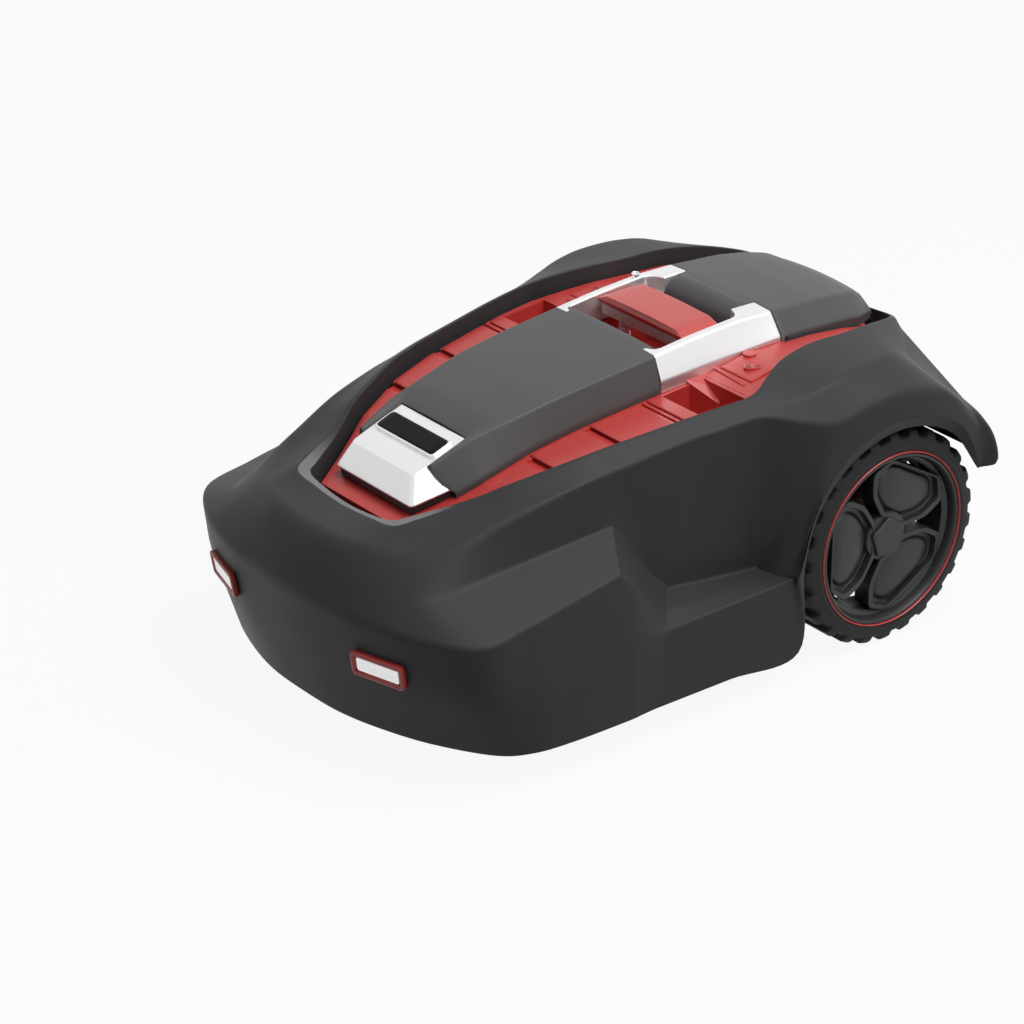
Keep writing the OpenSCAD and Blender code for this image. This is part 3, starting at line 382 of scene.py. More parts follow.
def round_section(points, cuts, arc=5, hold=(0.06, 0.5, 0.94), closed=True):
    """Rounds the corners of many polylines at once.

    points is (columns, corners, 3) and cuts (columns, corners) the length taken off each
    side of a corner, which becomes a quadratic curve. hold are extra points on each flat.
    """
    prev, nxt = np.roll(points, 1, 1), np.roll(points, -1, 1)
    back, ahead = prev - points, nxt - points
    len_b = np.linalg.norm(back, axis=-1, keepdims=True) + 1e-9
    len_a = np.linalg.norm(ahead, axis=-1, keepdims=True) + 1e-9
    cut = cuts[..., None]
    start = points + back / len_b * np.minimum(cut, MOST_CUT * len_b)
    end = points + ahead / len_a * np.minimum(cut, MOST_CUT * len_a)
    t = np.linspace(0, 1, arc)[:, None]
    curve = ((1 - t) ** 2 * start[:, :, None] + 2 * t * (1 - t) * points[:, :, None]
             + t ** 2 * end[:, :, None])
    h = np.asarray(hold)[:, None]
    flat = end[:, :, None] * (1 - h) + np.roll(start, -1, 1)[:, :, None] * h
    if closed:
        return np.concatenate([curve, flat], 2).reshape(len(points), -1, 3)
    first = points[:, :1] * (1 - h) + start[:, 1:2] * h
    flat = np.concatenate([flat[:, 1:-2], end[:, -2:-1, None] * (1 - h) + points[:, -1:, None] * h], 1)
    middle = np.concatenate([curve[:, 1:-1], flat], 2).reshape(len(points), -1, 3)
    return np.concatenate([points[:, :1], first, middle, points[:, -1:]], 1)


# ---------------------------------------------------------------- outer shell

wheel_z = 97.0
axle_y = 189.0
# Distance of the wheels' outer faces from the middle
wheel_out = 193
arch_r = 106.0
shell_t = 2.5


def arch(x, phi, r):
    """A point of the wheel arch; phi runs from the arch's front at axle height over the top."""
    return (x, axle_y - r * math.cos(math.radians(phi)), wheel_z + r * math.sin(math.radians(phi)))


ARCH_STEPS = (3, 32, 62, 93, 125)
# The shell's feature lines, each from the front centre round the left side to the rear centre
RIM_LINE = [
    (0, -233, 184), (34, -232, 186), (56, -230, 190), (64, -218, 193), (79, -190, 200),
    (91, -170, 207), (103, -148, 216), (121, -100, 229), (126, -78, 233), (130, -57, 236),
    (137, -12, 241), (143, 28, 245), (147, 66, 248), (137, 92, 254), (126, 118, 259),
    (118, 155, 260), (117, 190, 259), (110, 228, 255), (97, 264, 247), (82, 280, 241),
    (48, 289, 234), (0, 290, 231)]
LIP_LINE = [
    (0, -241, 186), (38, -240, 188), (66, -237, 190.5), (76, -219, 195), (86, -192, 201),
    (96, -172, 207), (107, -149, 216), (124, -101, 228.5), (129, -79, 232.5), (133, -58, 235.5),
    (140, -13, 240.5), (146, 27, 244.5), (150, 66, 247.5), (141, 92, 253.5), (130, 118, 258.5),
    (122, 156, 259.5), (121, 190, 258.5), (114, 229, 254.5), (101, 266, 246), (85, 283, 240),
    (49, 292, 232), (0, 293, 229)]
PLATE_LINE = [
    (0, -262, 184), (38, -260, 184.5), (70, -253, 184.5), (88, -235, 186), (102, -208, 192),
    (113, -182, 200), (123, -150, 210), (134, -104, 221.5), (138, -80, 225.5), (142, -60, 229),
    (148, -11, 235), (153, 25, 238.5), (160, 66, 241.5), (171, 100, 244), (174, 122, 249),
    (173, 148, 253), (168, 186, 253.5), (159, 216, 249), (146, 246, 232), (124, 278, 212),
    (64, 294, 213), (0, 295, 213)]
SHOULDER_LINE = [
    (0, -279, 182), (40, -276, 182), (72, -265, 181), (98, -250, 180), (118, -223, 185),
    (128, -186, 198), (137, -147, 209), (143, -105, 217), (146, -80, 220.5), (149, -62, 223),
    (155, -9, 230.5), (160, 23, 233), (166, 62, 235.5), (184, 95, 228), (196, 122, 225),
    (198, 158, 233), (198, 195, 234), (197, 240, 221), (193, 272, 195), (180, 290, 185),
    (80, 296, 190), (0, 296, 190)]
FOOT_LINE = [
    (0, -292, 160), (42, -289, 160), (78, -280, 160), (112, -267, 158), (134, -245, 157),
    (141, -186, 164), (145, -147, 169), (150, -82, 176), (151, -68, 160), (153, -46, 125),
    (157, -29, 106), (160, 20, 101), (162, 64, 97), (184, 88, 160), (198, 112, 200),
    (201, 152, 221), (201, 195, 222), (200, 246, 205), (198, 281, 176), (192, 296, 170),
    (84, 298, 175), (0, 298, 175)]
CREASE_LINE = [
    (0, -300, 134), (46, -298, 134), (90, -293, 134), (140, -278, 134), (187, -246, 133.5),
    (192, -200, 140), (192, -160, 147), (190, -106, 155), (190, -90, 140), (187, -68, 112),
    (178, -47, 100), (181, 12, 98), (183, 70, 96), (196, 88, 128), (202, 103, 172),
    (203, 142, 206), (203, 193, 211), (202, 247, 192), (200, 281, 158), (197, 298.5, 157),
    (86, 299, 158), (0, 299, 158)]
SILL_LINE = [
    (0, -292, 85), (46, -290, 85), (92, -284, 85), (143, -268, 85), (188, -242, 86),
    (199, -200, 88), (200, -160, 90), (200, -106, 92), (199, -90, 92), (197, -75, 92),
    (195, -63, 92), (195, 5, 94), (195, 76, 96),
    *[arch(202, phi, arch_r + 6) for phi in ARCH_STEPS],
    (201, 281, 143), (198, 300, 146), (87, 299.5, 147), (0, 300, 147)]
HEM_LINE = [
    (0, -281, 28), (46, -279, 28), (90, -269, 28), (135, -252, 28), (180, -224, 28),
    (196, -197, 28), (201, -160, 28), (202, -106, 28), (201, -90, 28), (200, -75, 28),
    (200, -63, 28), (200, 5, 28), (200, 80, 28),
    *[arch(196.5, phi, arch_r - 4) for phi in ARCH_STEPS],
    (200, 279, 139), (196.5, 299, 141), (87, 298, 143), (0, 298, 143)]
# The wall that hangs inside the opening, from the rim down
rim_wall = [(max(0, x - 2), y + (2 if y < -200 else -1 if y > 260 else 0), z - 20) for x, y, z in RIM_LINE]
LINES = [rim_wall, RIM_LINE, LIP_LINE, PLATE_LINE, SHOULDER_LINE, FOOT_LINE, CREASE_LINE, SILL_LINE, HEM_LINE]
STATIONS = len(RIM_LINE)
# Stations at which a line turns a hard corner: the ends of the side's two facets
HARD = {5: (7, 10, 12), 6: (7, 10, 12), 7: (10, 12, 18), 8: (18,)}
# How far each line's edge is rounded: front, front corner, side, fender, rear
ROUNDING_AT = (0, 2, 5, 7, 12, 14, 17, 21)
ROUNDING = [
    (1, 1, 1, 1, 1, 1, 1, 1),
    (1, 1, 1, 1, 1, 1, 1, 1),
    (1.5, 1.5, 1.5, 2, 2, 2.5, 3, 2),
    (9, 9, 6, 3, 2.5, 3, 4, 8),
    (14, 14, 6, 2.2, 2, 3.5, 6, 10),
    (14, 10, 2.5, 2, 3, 6, 6, 10),
    (9, 7, 2.5, 2, 3, 7, 5, 8),
    (16, 16, 10, 5, 1.5, 7, 2, 3),
    (0.8,) * 8]


def full_round(line):
    """A line's half mirrored to a closed round of stations."""
    half = np.array(line, float)
    return np.concatenate([half, (half * (-1, 1, 1))[-2:0:-1]])


def shell_lines(sub):
    """All feature lines as fine closed curves, (lines, columns, 3)."""
    n = 2 * (STATIONS - 1)
    out = []
    for k, line in enumerate(LINES):
        hard = [s for i in HARD.get(k, ()) for s in (i, n - i)]
        out.append(catmull(full_round(line), sub, hard))
    return np.array(out)


def shell_normals(lines):
    """Outward normals along the feature lines, from differences both ways."""
    along = np.roll(lines, -1, 1) - np.roll(lines, 1, 1)
    down = np.empty_like(lines)
    down[1:-1] = lines[:-2] - lines[2:]
    down[0], down[-1] = lines[0] - lines[1], lines[-2] - lines[-1]
    normal = np.cross(along, down)
    return normal / (np.linalg.norm(normal, axis=-1, keepdims=True) + 1e-9)


SUB = 9
lines = shell_lines(SUB)
normals = shell_normals(lines)
station = np.abs((np.arange(lines.shape[1]) / SUB + STATIONS - 1) % (2 * (STATIONS - 1)) - (STATIONS - 1))
rounding = np.array([np.interp(station, ROUNDING_AT, r) for r in ROUNDING])
# The lines that the shell's inner face follows back, from the hem to the rim's wall
inner = [8, 7, 6, 5, 4, 2, 0]
section = np.concatenate([lines, lines[inner] - shell_t * normals[inner]]).transpose(1, 0, 2)
cuts = np.concatenate([rounding, np.maximum(rounding[inner] - shell_t, 0.8)]).T
skin = round_section(section, cuts)
shell = make("outer_shell_skin", skin.reshape(-1, 3), grid_faces(*skin.shape[:2], True, True), SHELL,
             "shell", ("outer_shell",), 32)
# A painted highlight on the chamfer round the front of the opening, fading out along the sides
# A line's edge takes 8 columns, so these run from the end of the rim's to the start of the lip's
CHAMFER_COLUMNS = slice(11, 17)
FADE_STATIONS = (2.6, 4.4)
painted_sheen = np.zeros(skin.shape[:2])
painted_sheen[:, CHAMFER_COLUMNS] = (1 - smooth(station, *FADE_STATIONS))[:, None]
painted_sheen_data = shell.data.attributes.new("painted_sheen", "FLOAT", "POINT").data
painted_sheen_data.foreach_set("value", painted_sheen.reshape(-1).astype(np.float32))


# ---------------------------------------------------------------- covers

RIM_AT = np.array(RIM_LINE[1:], float)
SPINE = np.array([
    (-210, 46, 212), (-190, 47, 220), (-150, 52, 236), (-112, 57, 244), (-75, 61.5, 251.5),
    (-24, 64, 258), (32, 65, 263.5), (75, 65, 268), (122, 65, 271), (160, 65, 270),
    (212, 63.5, 266.5), (241, 60.5, 262.5), (262, 56, 258), (273, 52, 252)])
SKIRT = np.array([(-190, 58), (-150, 68), (32, 74), (160, 79), (250, 78), (273, 68)])
CROWN = 2.0
# Half-width of the grid down a cover's middle
MIDDLE = 43
# Where the nose ends and the front cover's full height starts
NOSE_END = -146.5


def deck_z(y):
    """Height of the red deck, a little below the shell's rim."""
    return np.interp(y, RIM_AT[:, 1], RIM_AT[:, 2]) - 13


def deck_x(y):
    """Half-width of the red deck."""
    rim_x, rim_y = RIM_AT[:, 0], RIM_AT[:, 1]
    return np.minimum(np.interp(y - 5, rim_y, rim_x), np.interp(y + 5, rim_y, rim_x)) - 5


def spine_x(y):
    return np.interp(y, SPINE[:, 0], SPINE[:, 1])


def spine_z(y):
    return np.interp(y, SPINE[:, 0], SPINE[:, 2])


def skirt_x(y):
    return np.interp(y, SKIRT[:, 0], SKIRT[:, 1])


def top_z(x, y):
    """The covers' crowned top: a parabola across, highest in the middle."""
    return spine_z(y) + CROWN * (1 - (x / spine_x(y)) ** 2)


def side_table(y, x0, z_foot, z_chamfer, cut=2.2, wall=None):
    """Rows of a cover's side from x0 over the top edge and chamfer to the foot, one row per y.

    Where wall is given, the row starts down the inner wall at that height.
    """
    xs, xp = skirt_x(y), spine_x(y)
    x0 = x0 + 0 * y
    corners = [(x0, top_z(x0, y)), (xp, spine_z(y)), (xs, z_chamfer + 0 * y), (xs, z_foot + 0 * y)]
    sizes = [0, cut, cut, 0]
    if wall is not None:
        corners.insert(0, (x0, wall + 0 * y))
        sizes.insert(1, 2.2)
    points = np.array([(x, y, z) for x, z in corners]).transpose(2, 0, 1)
    sizes = np.tile(np.array(sizes, float), (len(y), 1))
    return round_section(points, sizes, 6, FLAT_HOLD, False)


def read_table(table, start, step, y):
    """Points of a table's curves at a y of their own: linear between rows step apart from start."""
    place = np.clip((y - start) / step, 0, len(table) - 1.001)
    row = place.astype(int)
    share = (place - row)[..., None]
    cols = np.broadcast_to(np.arange(table.shape[1]), y.shape)
    out = table[row, cols] * (1 - share) + table[row + 1, cols] * share
    out[..., 1] = y
    return out


def weld(grids):
    """Joins grids of points into one net, one vertex where their edges meet, without collapsed quads."""
    verts, faces, start = [], [], 0
    for grid in grids:
        faces.append(grid_faces(*grid.shape[:2], start=start))
        verts.append(grid.reshape(-1, 3))
        start += grid.shape[0] * grid.shape[1]
    verts, faces = np.concatenate(verts), np.concatenate(faces)
    first, back = np.unique(np.round(verts, 3), axis=0, return_index=True, return_inverse=True)[1:]
    faces = back.reshape(-1)[faces]
    whole = faces[[len(set(f)) == 4 for f in faces.tolist()]]
    return verts[first], whole


def mirrored(grid):
    """The grid's image on the right-hand side, wound so that it still faces out."""
    return (grid * (-1, 1, 1))[:, ::-1]


def on_side(grid, side):
    """The grid as drawn on the left side, or its image where side is -1."""
    return grid if side > 0 else mirrored(grid)


def cover(name, grids, material, body, replaces, wall=2.4, edge=0.5, angle=33):
    """A moulded cover: welded grids with a wall inwards and a fine radius on its rims."""
    verts, faces = weld(grids)
    obj = make(name, verts, faces, material, body, replaces, angle)
    solid = obj.modifiers.new("wall", "SOLIDIFY")
    solid.thickness = wall * MM
    solid.offset = -1
    solid.use_quality_normals = True
    bevel = obj.modifiers.new("edge", "BEVEL")
    bevel.width = edge * MM
    bevel.segments = 2
    bevel.limit_method = "ANGLE"
    bevel.angle_limit = math.radians(60)
    return obj


def nose_dip(y):
    """How far the front cover's middle falls below its crown to meet the nose's plate."""
    plate_y, plate_z, slope, most = -147.2, 232.9, 0.3505, 4.2
    beside = top_z(MIDDLE, y) - (plate_z + slope * (y - plate_y))
    return np.where(y < NOSE_END, beside, smooth(-y, 122, 147) * most)


def front_cover():
    """Top between the nose and the finger well, with sides that are cut back in a curve."""
    start = -190
    rows = np.arange(start, 46.0)
    side = side_table(rows, MIDDLE, deck_z(rows) + 0.4, deck_z(rows) + 5)
    share = 1 - smooth(side[..., 0], MIDDLE, spine_x(rows)[:, None])
    side[..., 2] -= nose_dip(side[..., 1]) * share
    x_at = side[-175 - start, :, 0]
    front = -186 + 33 * np.clip((x_at - 45) / 23, 0, 1) ** 2.6
    rear = 32 + 8 * (1 - smooth(x_at, 47, 54))
    s = np.linspace(0, 1, 10)[:-1, None]
    s2 = np.linspace(0, 1, 26)[:, None]
    y = np.concatenate([front + s * (NOSE_END - front), NOSE_END + s2 * (rear - NOSE_END)])
    left = read_table(side, start, 1.0, y)
    x = np.linspace(-MIDDLE, MIDDLE, 15)
    yc = NOSE_END + s2 * (40 - NOSE_END) + 0 * x
    centre = np.stack([x + 0 * yc, yc, top_z(x, yc) - nose_dip(yc)], -1)
    left[9:, 0] = centre[:, -1]
    cover("front_cover_skin", [left, centre, mirrored(left)], COVER, "chassis",
          ("front_cover",))


def mid_frame():
    """Silver frame round the finger well: two arms with filleted ends, and prongs beside the lid."""
    y = np.concatenate([np.linspace(32.6, 46, 12), np.linspace(50, 118, 16), np.linspace(120, 134, 12),
                        np.linspace(137, 159, 8)])
    front = 57 - 9 * (1 - np.sqrt(np.clip(1 - np.clip((46 - y) / 10, 0, 1) ** 2, 0, 1)))
    back = 57 - 14 * (1 - np.sqrt(np.clip(1 - np.clip((y - 121) / 12, 0, 1) ** 2, 0, 1)))
    inner = np.minimum(front, back)
    arm = side_table(y, inner, deck_z(y) + 0.4, np.interp(y, (32, 160), (243, 251)), 2.0, 243)
    cover("frame_arms", [arm, mirrored(arm)], SILVER, "chassis", ("mid_frame",), 2.4, 0.5)
    # The thin cross strip between the arms, ahead of the lid's rolled edge
    strip = slab_loops((57, 2.4, 1.2), [(0.4, 0), (0, 0.6), (0, 4.2), (0.6, 5)], 0.0, 5)
    stack_mesh("frame_strip", strip + (0, 125.5, 250), SILVER, "chassis")


def slab_loops(size, levels, crown=0.0, n=8, cap=True):
    """Loops of a rounded pad from the bottom to the middle of the top."""
    a, b, r = size
    loops = []
    for inset, z in levels:
        xy = rounded_outline(a - inset, b - inset, max(r - inset, 0.05), n)
        loops.append(np.column_stack([xy, np.full(len(xy), z)]))
    if cap:
        inset, z = levels[-1]
        for share in np.linspace(0.84, 0.0, 6):
            xy = rounded_outline(a - inset, b - inset, max(r - inset, 0.05), n) * max(share, 1e-3)
            loops.append(np.column_stack([xy, np.full(len(xy), z)]))
    points = np.array(loops)
    if crown:
        rise = np.clip((points[..., 2] - levels[0][1]) / (levels[-1][1] - levels[0][1]), 0, 1)
        points[..., 2] += crown * rise * (1 - (points[..., 0] / a) ** 2)
    bottom = points[:1].copy()
    bottom[..., :2] *= 1e-3
    return np.concatenate([bottom, points])


def closed_stack(loops):
    """Points and faces of loops from the lowest to the highest, the first and last drawn to a pole."""
    points = loops[1:-1]
    rows, cols = points.shape[:2]
    count = rows * cols
    j = np.arange(cols)
    j2 = (j + 1) % cols
    low = np.stack([np.full(cols, count), j2, j], -1)
    high = np.stack([np.full(cols, count + 1), count - cols + j, count - cols + j2], -1)
    points = np.concatenate([points.reshape(-1, 3), loops[:1].mean(1), loops[-1:].mean(1)])
    return points, grid_faces(rows, cols, wrap_cols=True).tolist() + low.tolist() + high.tolist()


def stack_mesh(name, loops, material, body, replaces=(), angle=SHARP):
    """A closed mesh through loops of points, from its lowest to its highest."""
    points, faces = closed_stack(loops)
    return make(name, points, faces, material, body, replaces, angle)


def polygon_stack(levels, corner_cuts, level_cuts):
    """Loops through polygons given level by level, with rounded corners and rounded edges between levels.

    levels is (levels, corners, 3), three levels or more; corner_cuts and level_cuts are the
    lengths cut from the edges.
    """
    levels = np.asarray(levels, float)
    corner_cuts = np.asarray(corner_cuts, float) + np.zeros(levels.shape[:2])
    loops = round_section(levels, corner_cuts, 6, FLAT_HOLD)
    columns = loops.transpose(1, 0, 2)
    cuts = np.tile(np.asarray(level_cuts, float), (len(columns), 1))
    rows = round_section(columns, cuts, 5, (0.1, 0.5, 0.9), False).transpose(1, 0, 2)
    foot, head = rows[0].mean(0), rows[-1].mean(0)
    cap = head + (rows[-1] - head) * np.array(CAP_SHARES)[:, None, None]
    return np.concatenate([foot + (rows[:1] - foot) * 0.001, rows, cap])


def both(points):
    """Corners on the left side, then their mirror images in reverse order."""
    points = np.asarray(points, float)
    return np.concatenate([points, points[::-1] * (-1, 1, 1)])


def rear_lid():
    """Lid over the controls: crowned top, chamfered sides, a bowed rear wall and a rolled front edge."""
    start = 161.0
    rows = np.arange(start, 278.0)
    foot_z = 236
    side = side_table(rows, MIDDLE, foot_z, np.interp(rows, (160, 241, 273), (251, 247, 243)))
    x_at = side[int(221 - start), :, 0]
    x = np.linspace(-MIDDLE, MIDDLE, 15)
    s = np.linspace(0, 1, 26)[:, None]
    end, end_c = 271 + 4 * (1 - (x_at / 79) ** 2), 271 + 4 * (1 - (x / 79) ** 2)
    y, yc = start + s * (end - start), start + s * (end_c - start)
    left = read_table(side, start, 1.0, y)
    centre = np.stack([x + 0 * yc, yc, top_z(x, yc)], -1)
    lead = np.array([149.0, 152, 156])[:, None] + 0 * x
    lead = np.stack([x + 0 * lead, lead, top_z(x, lead * 0 + start) - 0.02 * (161 - lead)], -1)
    rear = []
    for grid in (left, centre):
        last = grid[-1]
        room = np.clip((last[:, 2] - foot_z) / 8, 0, 1)[:, None]
        drop = np.array([(0, 0.7, -0.25), (0, 1.3, -0.9), (0, 1.6, -2.0)])[:, None]
        down = drop * np.concatenate([room, np.ones_like(room), room], 1)
        foot = last + (0, 1.6, 0)
        foot[:, 2] = foot_z
        low = np.array([0.35, 0.7, 1.0])[:, None, None]
        wall = (last + down[-1]) * (1 - low) + foot * low
        rear.append(np.concatenate([grid, last + down, wall]))
    left, centre = rear
    left[:, 0] = centre[:, -1]
    grids = [left, np.concatenate([lead, centre]), mirrored(left)]
    cover("lid_skin", grids, COVER, "lid", ("rear_lid",))
    # The roll's radius follows the crown, and its ends are rounded
    ends = np.array([-42.4, -42.3, -41.6, -40.5, *np.linspace(-38, 38, 17), 40.5, 41.6, 42.3, 42.4])
    inset = np.array([17.0, 2.2, 0.8, 0.1, *np.zeros(17), 0.1, 0.8, 2.2, 17.0])
    roll_y, roll_z = 150, 254
    radius = top_z(ends, np.full(len(ends), start)) - roll_z - inset
    turn = np.linspace(0, 2 * math.pi, 64, endpoint=False)[:, None]
    roll = np.stack([ends + 0 * turn, roll_y + radius * np.cos(turn), roll_z + radius * np.sin(turn)], -1)
    stack_mesh("lid_roll", roll.transpose(1, 0, 2), COVER, "lid")


def nose():
    """Silver nose: a sloping top plate with bevels in front and at the sides, and a lip at its foot that is
    black as painted shade, for the shadow gap under the bevel.
    """
    sill = both([(48.5, -205.5, 184.5), (57, -170, 194), (42, -147.6, 212)])
    lip = both([(48.5, -205.5, 191), (57, -170, 200), (42, -147.6, 220)])
    loops = polygon_stack([sill, (sill + lip) / 2, lip], 1.5, [0, 0, 0])
    # Painted shade: the lip is black where the shadow gap under the bevel's foot falls
    stack_mesh("nose_lip_painted_shade", loops, BLACK, "chassis")
    low = both([(50.7, -208.0, 191.4), (59.4, -170.8, 200.8), (42.4, -147.2, 221)])
    foot = both([(51.3, -208.6, 192.6), (60, -171, 202), (42.4, -147.2, 222)])
    plate = both([(41.3, -198.9, 214.1), (42.2, -186, 218.6), (42.4, -147.2, 232.2)])
    loops = polygon_stack([low, foot, plate], [[4, 2, 1, 1, 2, 4]] * 3, [0, 0.6, 1.4])
    stack_mesh("nose_shell", loops, SILVER, "chassis", ("nose_piece",), 30)


def tilt_x(points, degrees, place):
    """Turns points about the X axis and moves them to place."""
    a = math.radians(degrees)
    x, y, z = points[..., 0], points[..., 1], points[..., 2]
    return np.stack([x, y * math.cos(a) - z * math.sin(a), y * math.sin(a) + z * math.cos(a)], -1) + place


def badge():
    """Blank black badge in a thin silver bezel."""
    tilt, place = 20, (0, -167.4, 226)
    bezel = slab_loops((39.2, 11.2, 4.2), [(0.2, -1.5), (0, 1.6), (0.5, 2.1), (1.4, 2.1), (1.7, 1.7)], 0, 9)
    stack_mesh("badge_bezel", tilt_x(bezel, tilt, place), SILVER, "chassis")
    plate = slab_loops((37.4, 9.5, 3.4), [(0.2, 0.5), (0, 2.2), (0.4, 2.7), (1.0, 2.9)], 0, 9)
    stack_mesh("badge_blank", tilt_x(plate, tilt, place), BADGE, "chassis", ("badge_plate",))


def stop_button():
    """Red stop bar, lower and narrower to the front, with facets at its ends, on a white grip."""
    def ring(xf, yf, zf, xr, yr, zr):
        return both([(xf, yf, zf), (xr, yr, zr)])
    levels = np.array([
        ring(53.6, 71.2, 262.0, 52.8, 110.4, 262.6),
        ring(55.6, 70.2, 263.4, 54.4, 111.2, 264.4),
        ring(55.6, 70.0, 265.6, 54.2, 111.4, 267.4),
        ring(46.0, 71.6, 269.6, 45.4, 110.2, 271.2)])
    loops = polygon_stack(levels, 2.4, [0, 0.8, 1.2, 1.0])
    rise = np.clip((loops[..., 2] - 268) / 2, 0, 1)
    loops[..., 2] += 1.4 * rise * np.clip(1 - (loops[..., 0] / 46) ** 2, 0, 1)
    stack_mesh("stop_bar_cap", loops, RED_BAR, "stop_button", ("stop_bar",), 30)
    grip = slab_loops((53, 19, 5), [(3.0, 251.9), (1.0, 252.8), (0, 254.6), (0, 261.9)], 0, 8, False)
    bow = 1.4 * (grip[..., 0] / 53) ** 2 * np.clip((262 - grip[..., 2]) / 9, 0, 1)
    grip[..., 2] += bow
    loops = np.concatenate([grip, grip[-1:] * (1e-3, 1e-3, 1)])
    stack_mesh("stop_grip_pad", loops + (0, 90.6, 0), WHITE, "stop_button")


def stop_spring(side, hand):
    """Coil of 1.4 mm wire with flat ends."""
    turns, radius, wire = 5, 5.8, 0.7
    t = np.linspace(0, turns * 2 * math.pi, turns * 30)[:, None]
    rise = np.clip((t / (2 * math.pi) - 0.6) / (turns - 1.2), 0, 1)
    a = -np.linspace(0, 2 * math.pi, 12, endpoint=False)
    reach = radius + wire * np.cos(a)
    coil = np.stack([reach * np.cos(t), reach * np.sin(t), 217.0 + 34.0 * rise + wire * np.sin(a)], -1)
    coil = np.concatenate([coil[:1], coil, coil[-1:]]) + (side * 44.5, 90.5, 0)
    stands_for = ("stop_springs",) if side > 0 else ()
    obj = stack_mesh(f"stop_coil_{hand}", coil, STEEL, "chassis", stands_for)
    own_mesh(obj)


def lid_pin_cap(side, hand):
    """Dark end of the lid's hinge pin in its side."""
    profile = [(0.01, -0.5), (1.9, -0.5), (1.9, 0.2), (1.6, 0.45), (0.01, 0.3)]
    revolve(f"lid_pin_cap_{hand}", profile[::-1], BLACK, "lid",
            (side * 79.0, 166, 248.4), "x", mirror=side)


def rain_pin():
    """Small bright ring with a sunk middle."""
    profile = [(0.01, 0), (2.4, 0), (2.4, 9.6), (3.3, 10.0), (3.5, 10.6), (3.5, 12.0),
               (3.2, 12.5), (2.6, 12.5), (2.2, 12.1), (2.1, 11.2), (0.01, 11.0)]
    revolve("sensor_pin", profile, CHROME, "chassis", (-61, 117, 262), "z",
            ("rain_sensor",), 36)


front_cover()
mid_frame()
rear_lid()
nose()
badge()
stop_button()
rain_pin()
for side, hand in ((1, "left"), (-1, "right")):
    stop_spring(side, hand)
    lid_pin_cap(side, hand)


# ---------------------------------------------------------------- deck

# Height down to which the blocks on the deck run
DECK_BASE = 198
# Where each raised plate starts and ends along the deck
PLATE_SPANS = ((-196, -112), (-104, -52), (-44, 7), (15, 29))


def deck_plate(name, y0, y1, side, lift, x_in, x_out):
    """Raised plate on the deck between two curves in y, with bevelled edges.

    The outline runs round the unit square (u across, v along); each level insets it.
    """
    edge = np.linspace(0, 1, 14)[:-1]
    zero, one = np.zeros(13), np.ones(13)
    u = np.concatenate([edge, one, 1 - edge, zero])
    v = np.concatenate([zero, edge, one, 1 - edge])
    loops = []
    levels = [(0, -1.5, 1e-3), (0, -1.5, 1), (0, 0.5 * lift, 1), (0.3, 0.85 * lift, 1),
              *((0.9, lift, share) for share in (1, 0.9, 0.6, 0.3, 1e-3))]
    for inset, height, share in levels:
        us, vs = 0.5 + (u - 0.5) * share, 0.5 + (v - 0.5) * share
        y = y0 + inset + vs * (y1 - y0 - 2 * inset)
        x = x_in(y) + inset + us * (x_out(y) - x_in(y) - 2 * inset)
        loops.append(np.stack([x, y, deck_z(y) + height], -1))
    stack_mesh(name, on_side(np.array(loops), side), RED, "chassis")


def deck_boss(side, hand):
    """Oval boss with two screw sockets."""
    turn = math.radians(58)
    along, across = math.cos(turn), math.sin(turn)
    loops = slab_loops((8.2, 4.4, 4.3), [(0.5, -1), (0.3, 1.2), (0.6, 1.8), (1.3, 2.0)], 0, 9)
    x, y = loops[..., 0].copy(), loops[..., 1].copy()
    loops[..., 0], loops[..., 1] = x * along - y * across, x * across + y * along
    place = np.array((103, 107, deck_z(107) + 1.2))
    stack_mesh(f"deck_boss_{hand}", on_side(loops + place, side), RED, "chassis")
    socket = [(0.01, 0.5), (2.4, 0.5), (2.4, 1.9), (2.3, 2.2),
              (1.9, 2.3), (1.5, 2.15), (1.4, 1.7), (0.01, 1.7)]
    for k, step in enumerate((-3.9, 3.9), 1):
        spot = (place + (step * along, step * across, 0)) * (side, 1, 1)
        revolve(f"boss_socket_{hand}_{k}", socket, BLACK, "chassis", spot, "z")


def deck_solid(name, top, side, cut=1.2):
    """Block whose top face runs through the given corners, a little raised, with rounded upright edges."""
    top = np.array(top, float)
    low = top * (1, 1, 0) + (0, 0, DECK_BASE)
    loops = polygon_stack([low, (low + top) / 2, top], cut, [0, 0, 0])
    raised = 0.3
    loops[-len(CAP_SHARES):, :, 2] += raised
    stack_mesh(name, on_side(loops, side), RED, "chassis")


for side, hand in ((1, "left"), (-1, "right")):
    deck_solid(f"deck_gusset_{hand}", [(74, 58, 238), (101, 72, 222), (97, 85, 228), (74, 88, 240)], side)
    deck_solid(f"deck_rib_{hand}", [(74, 87.5, 241), (116, 85, 240), (116, 88, 241), (74, 90.5, 242)],
               side, 0.6)
    for k, (y0, y1) in enumerate(PLATE_SPANS, 1):
        deck_plate(f"deck_plate_{hand}_{k}", y0, y1, side, 1.5,
                   lambda y: skirt_x(y) + 2.5, lambda y: deck_x(y) - 2.5)
    deck_plate(f"deck_step_{hand}", 92, 132, side, 1.6,
               lambda y: skirt_x(y) + 3, lambda y: np.minimum(deck_x(y) - 3, 118))
    deck_boss(side, hand)


# ---------------------------------------------------------------- charging contacts

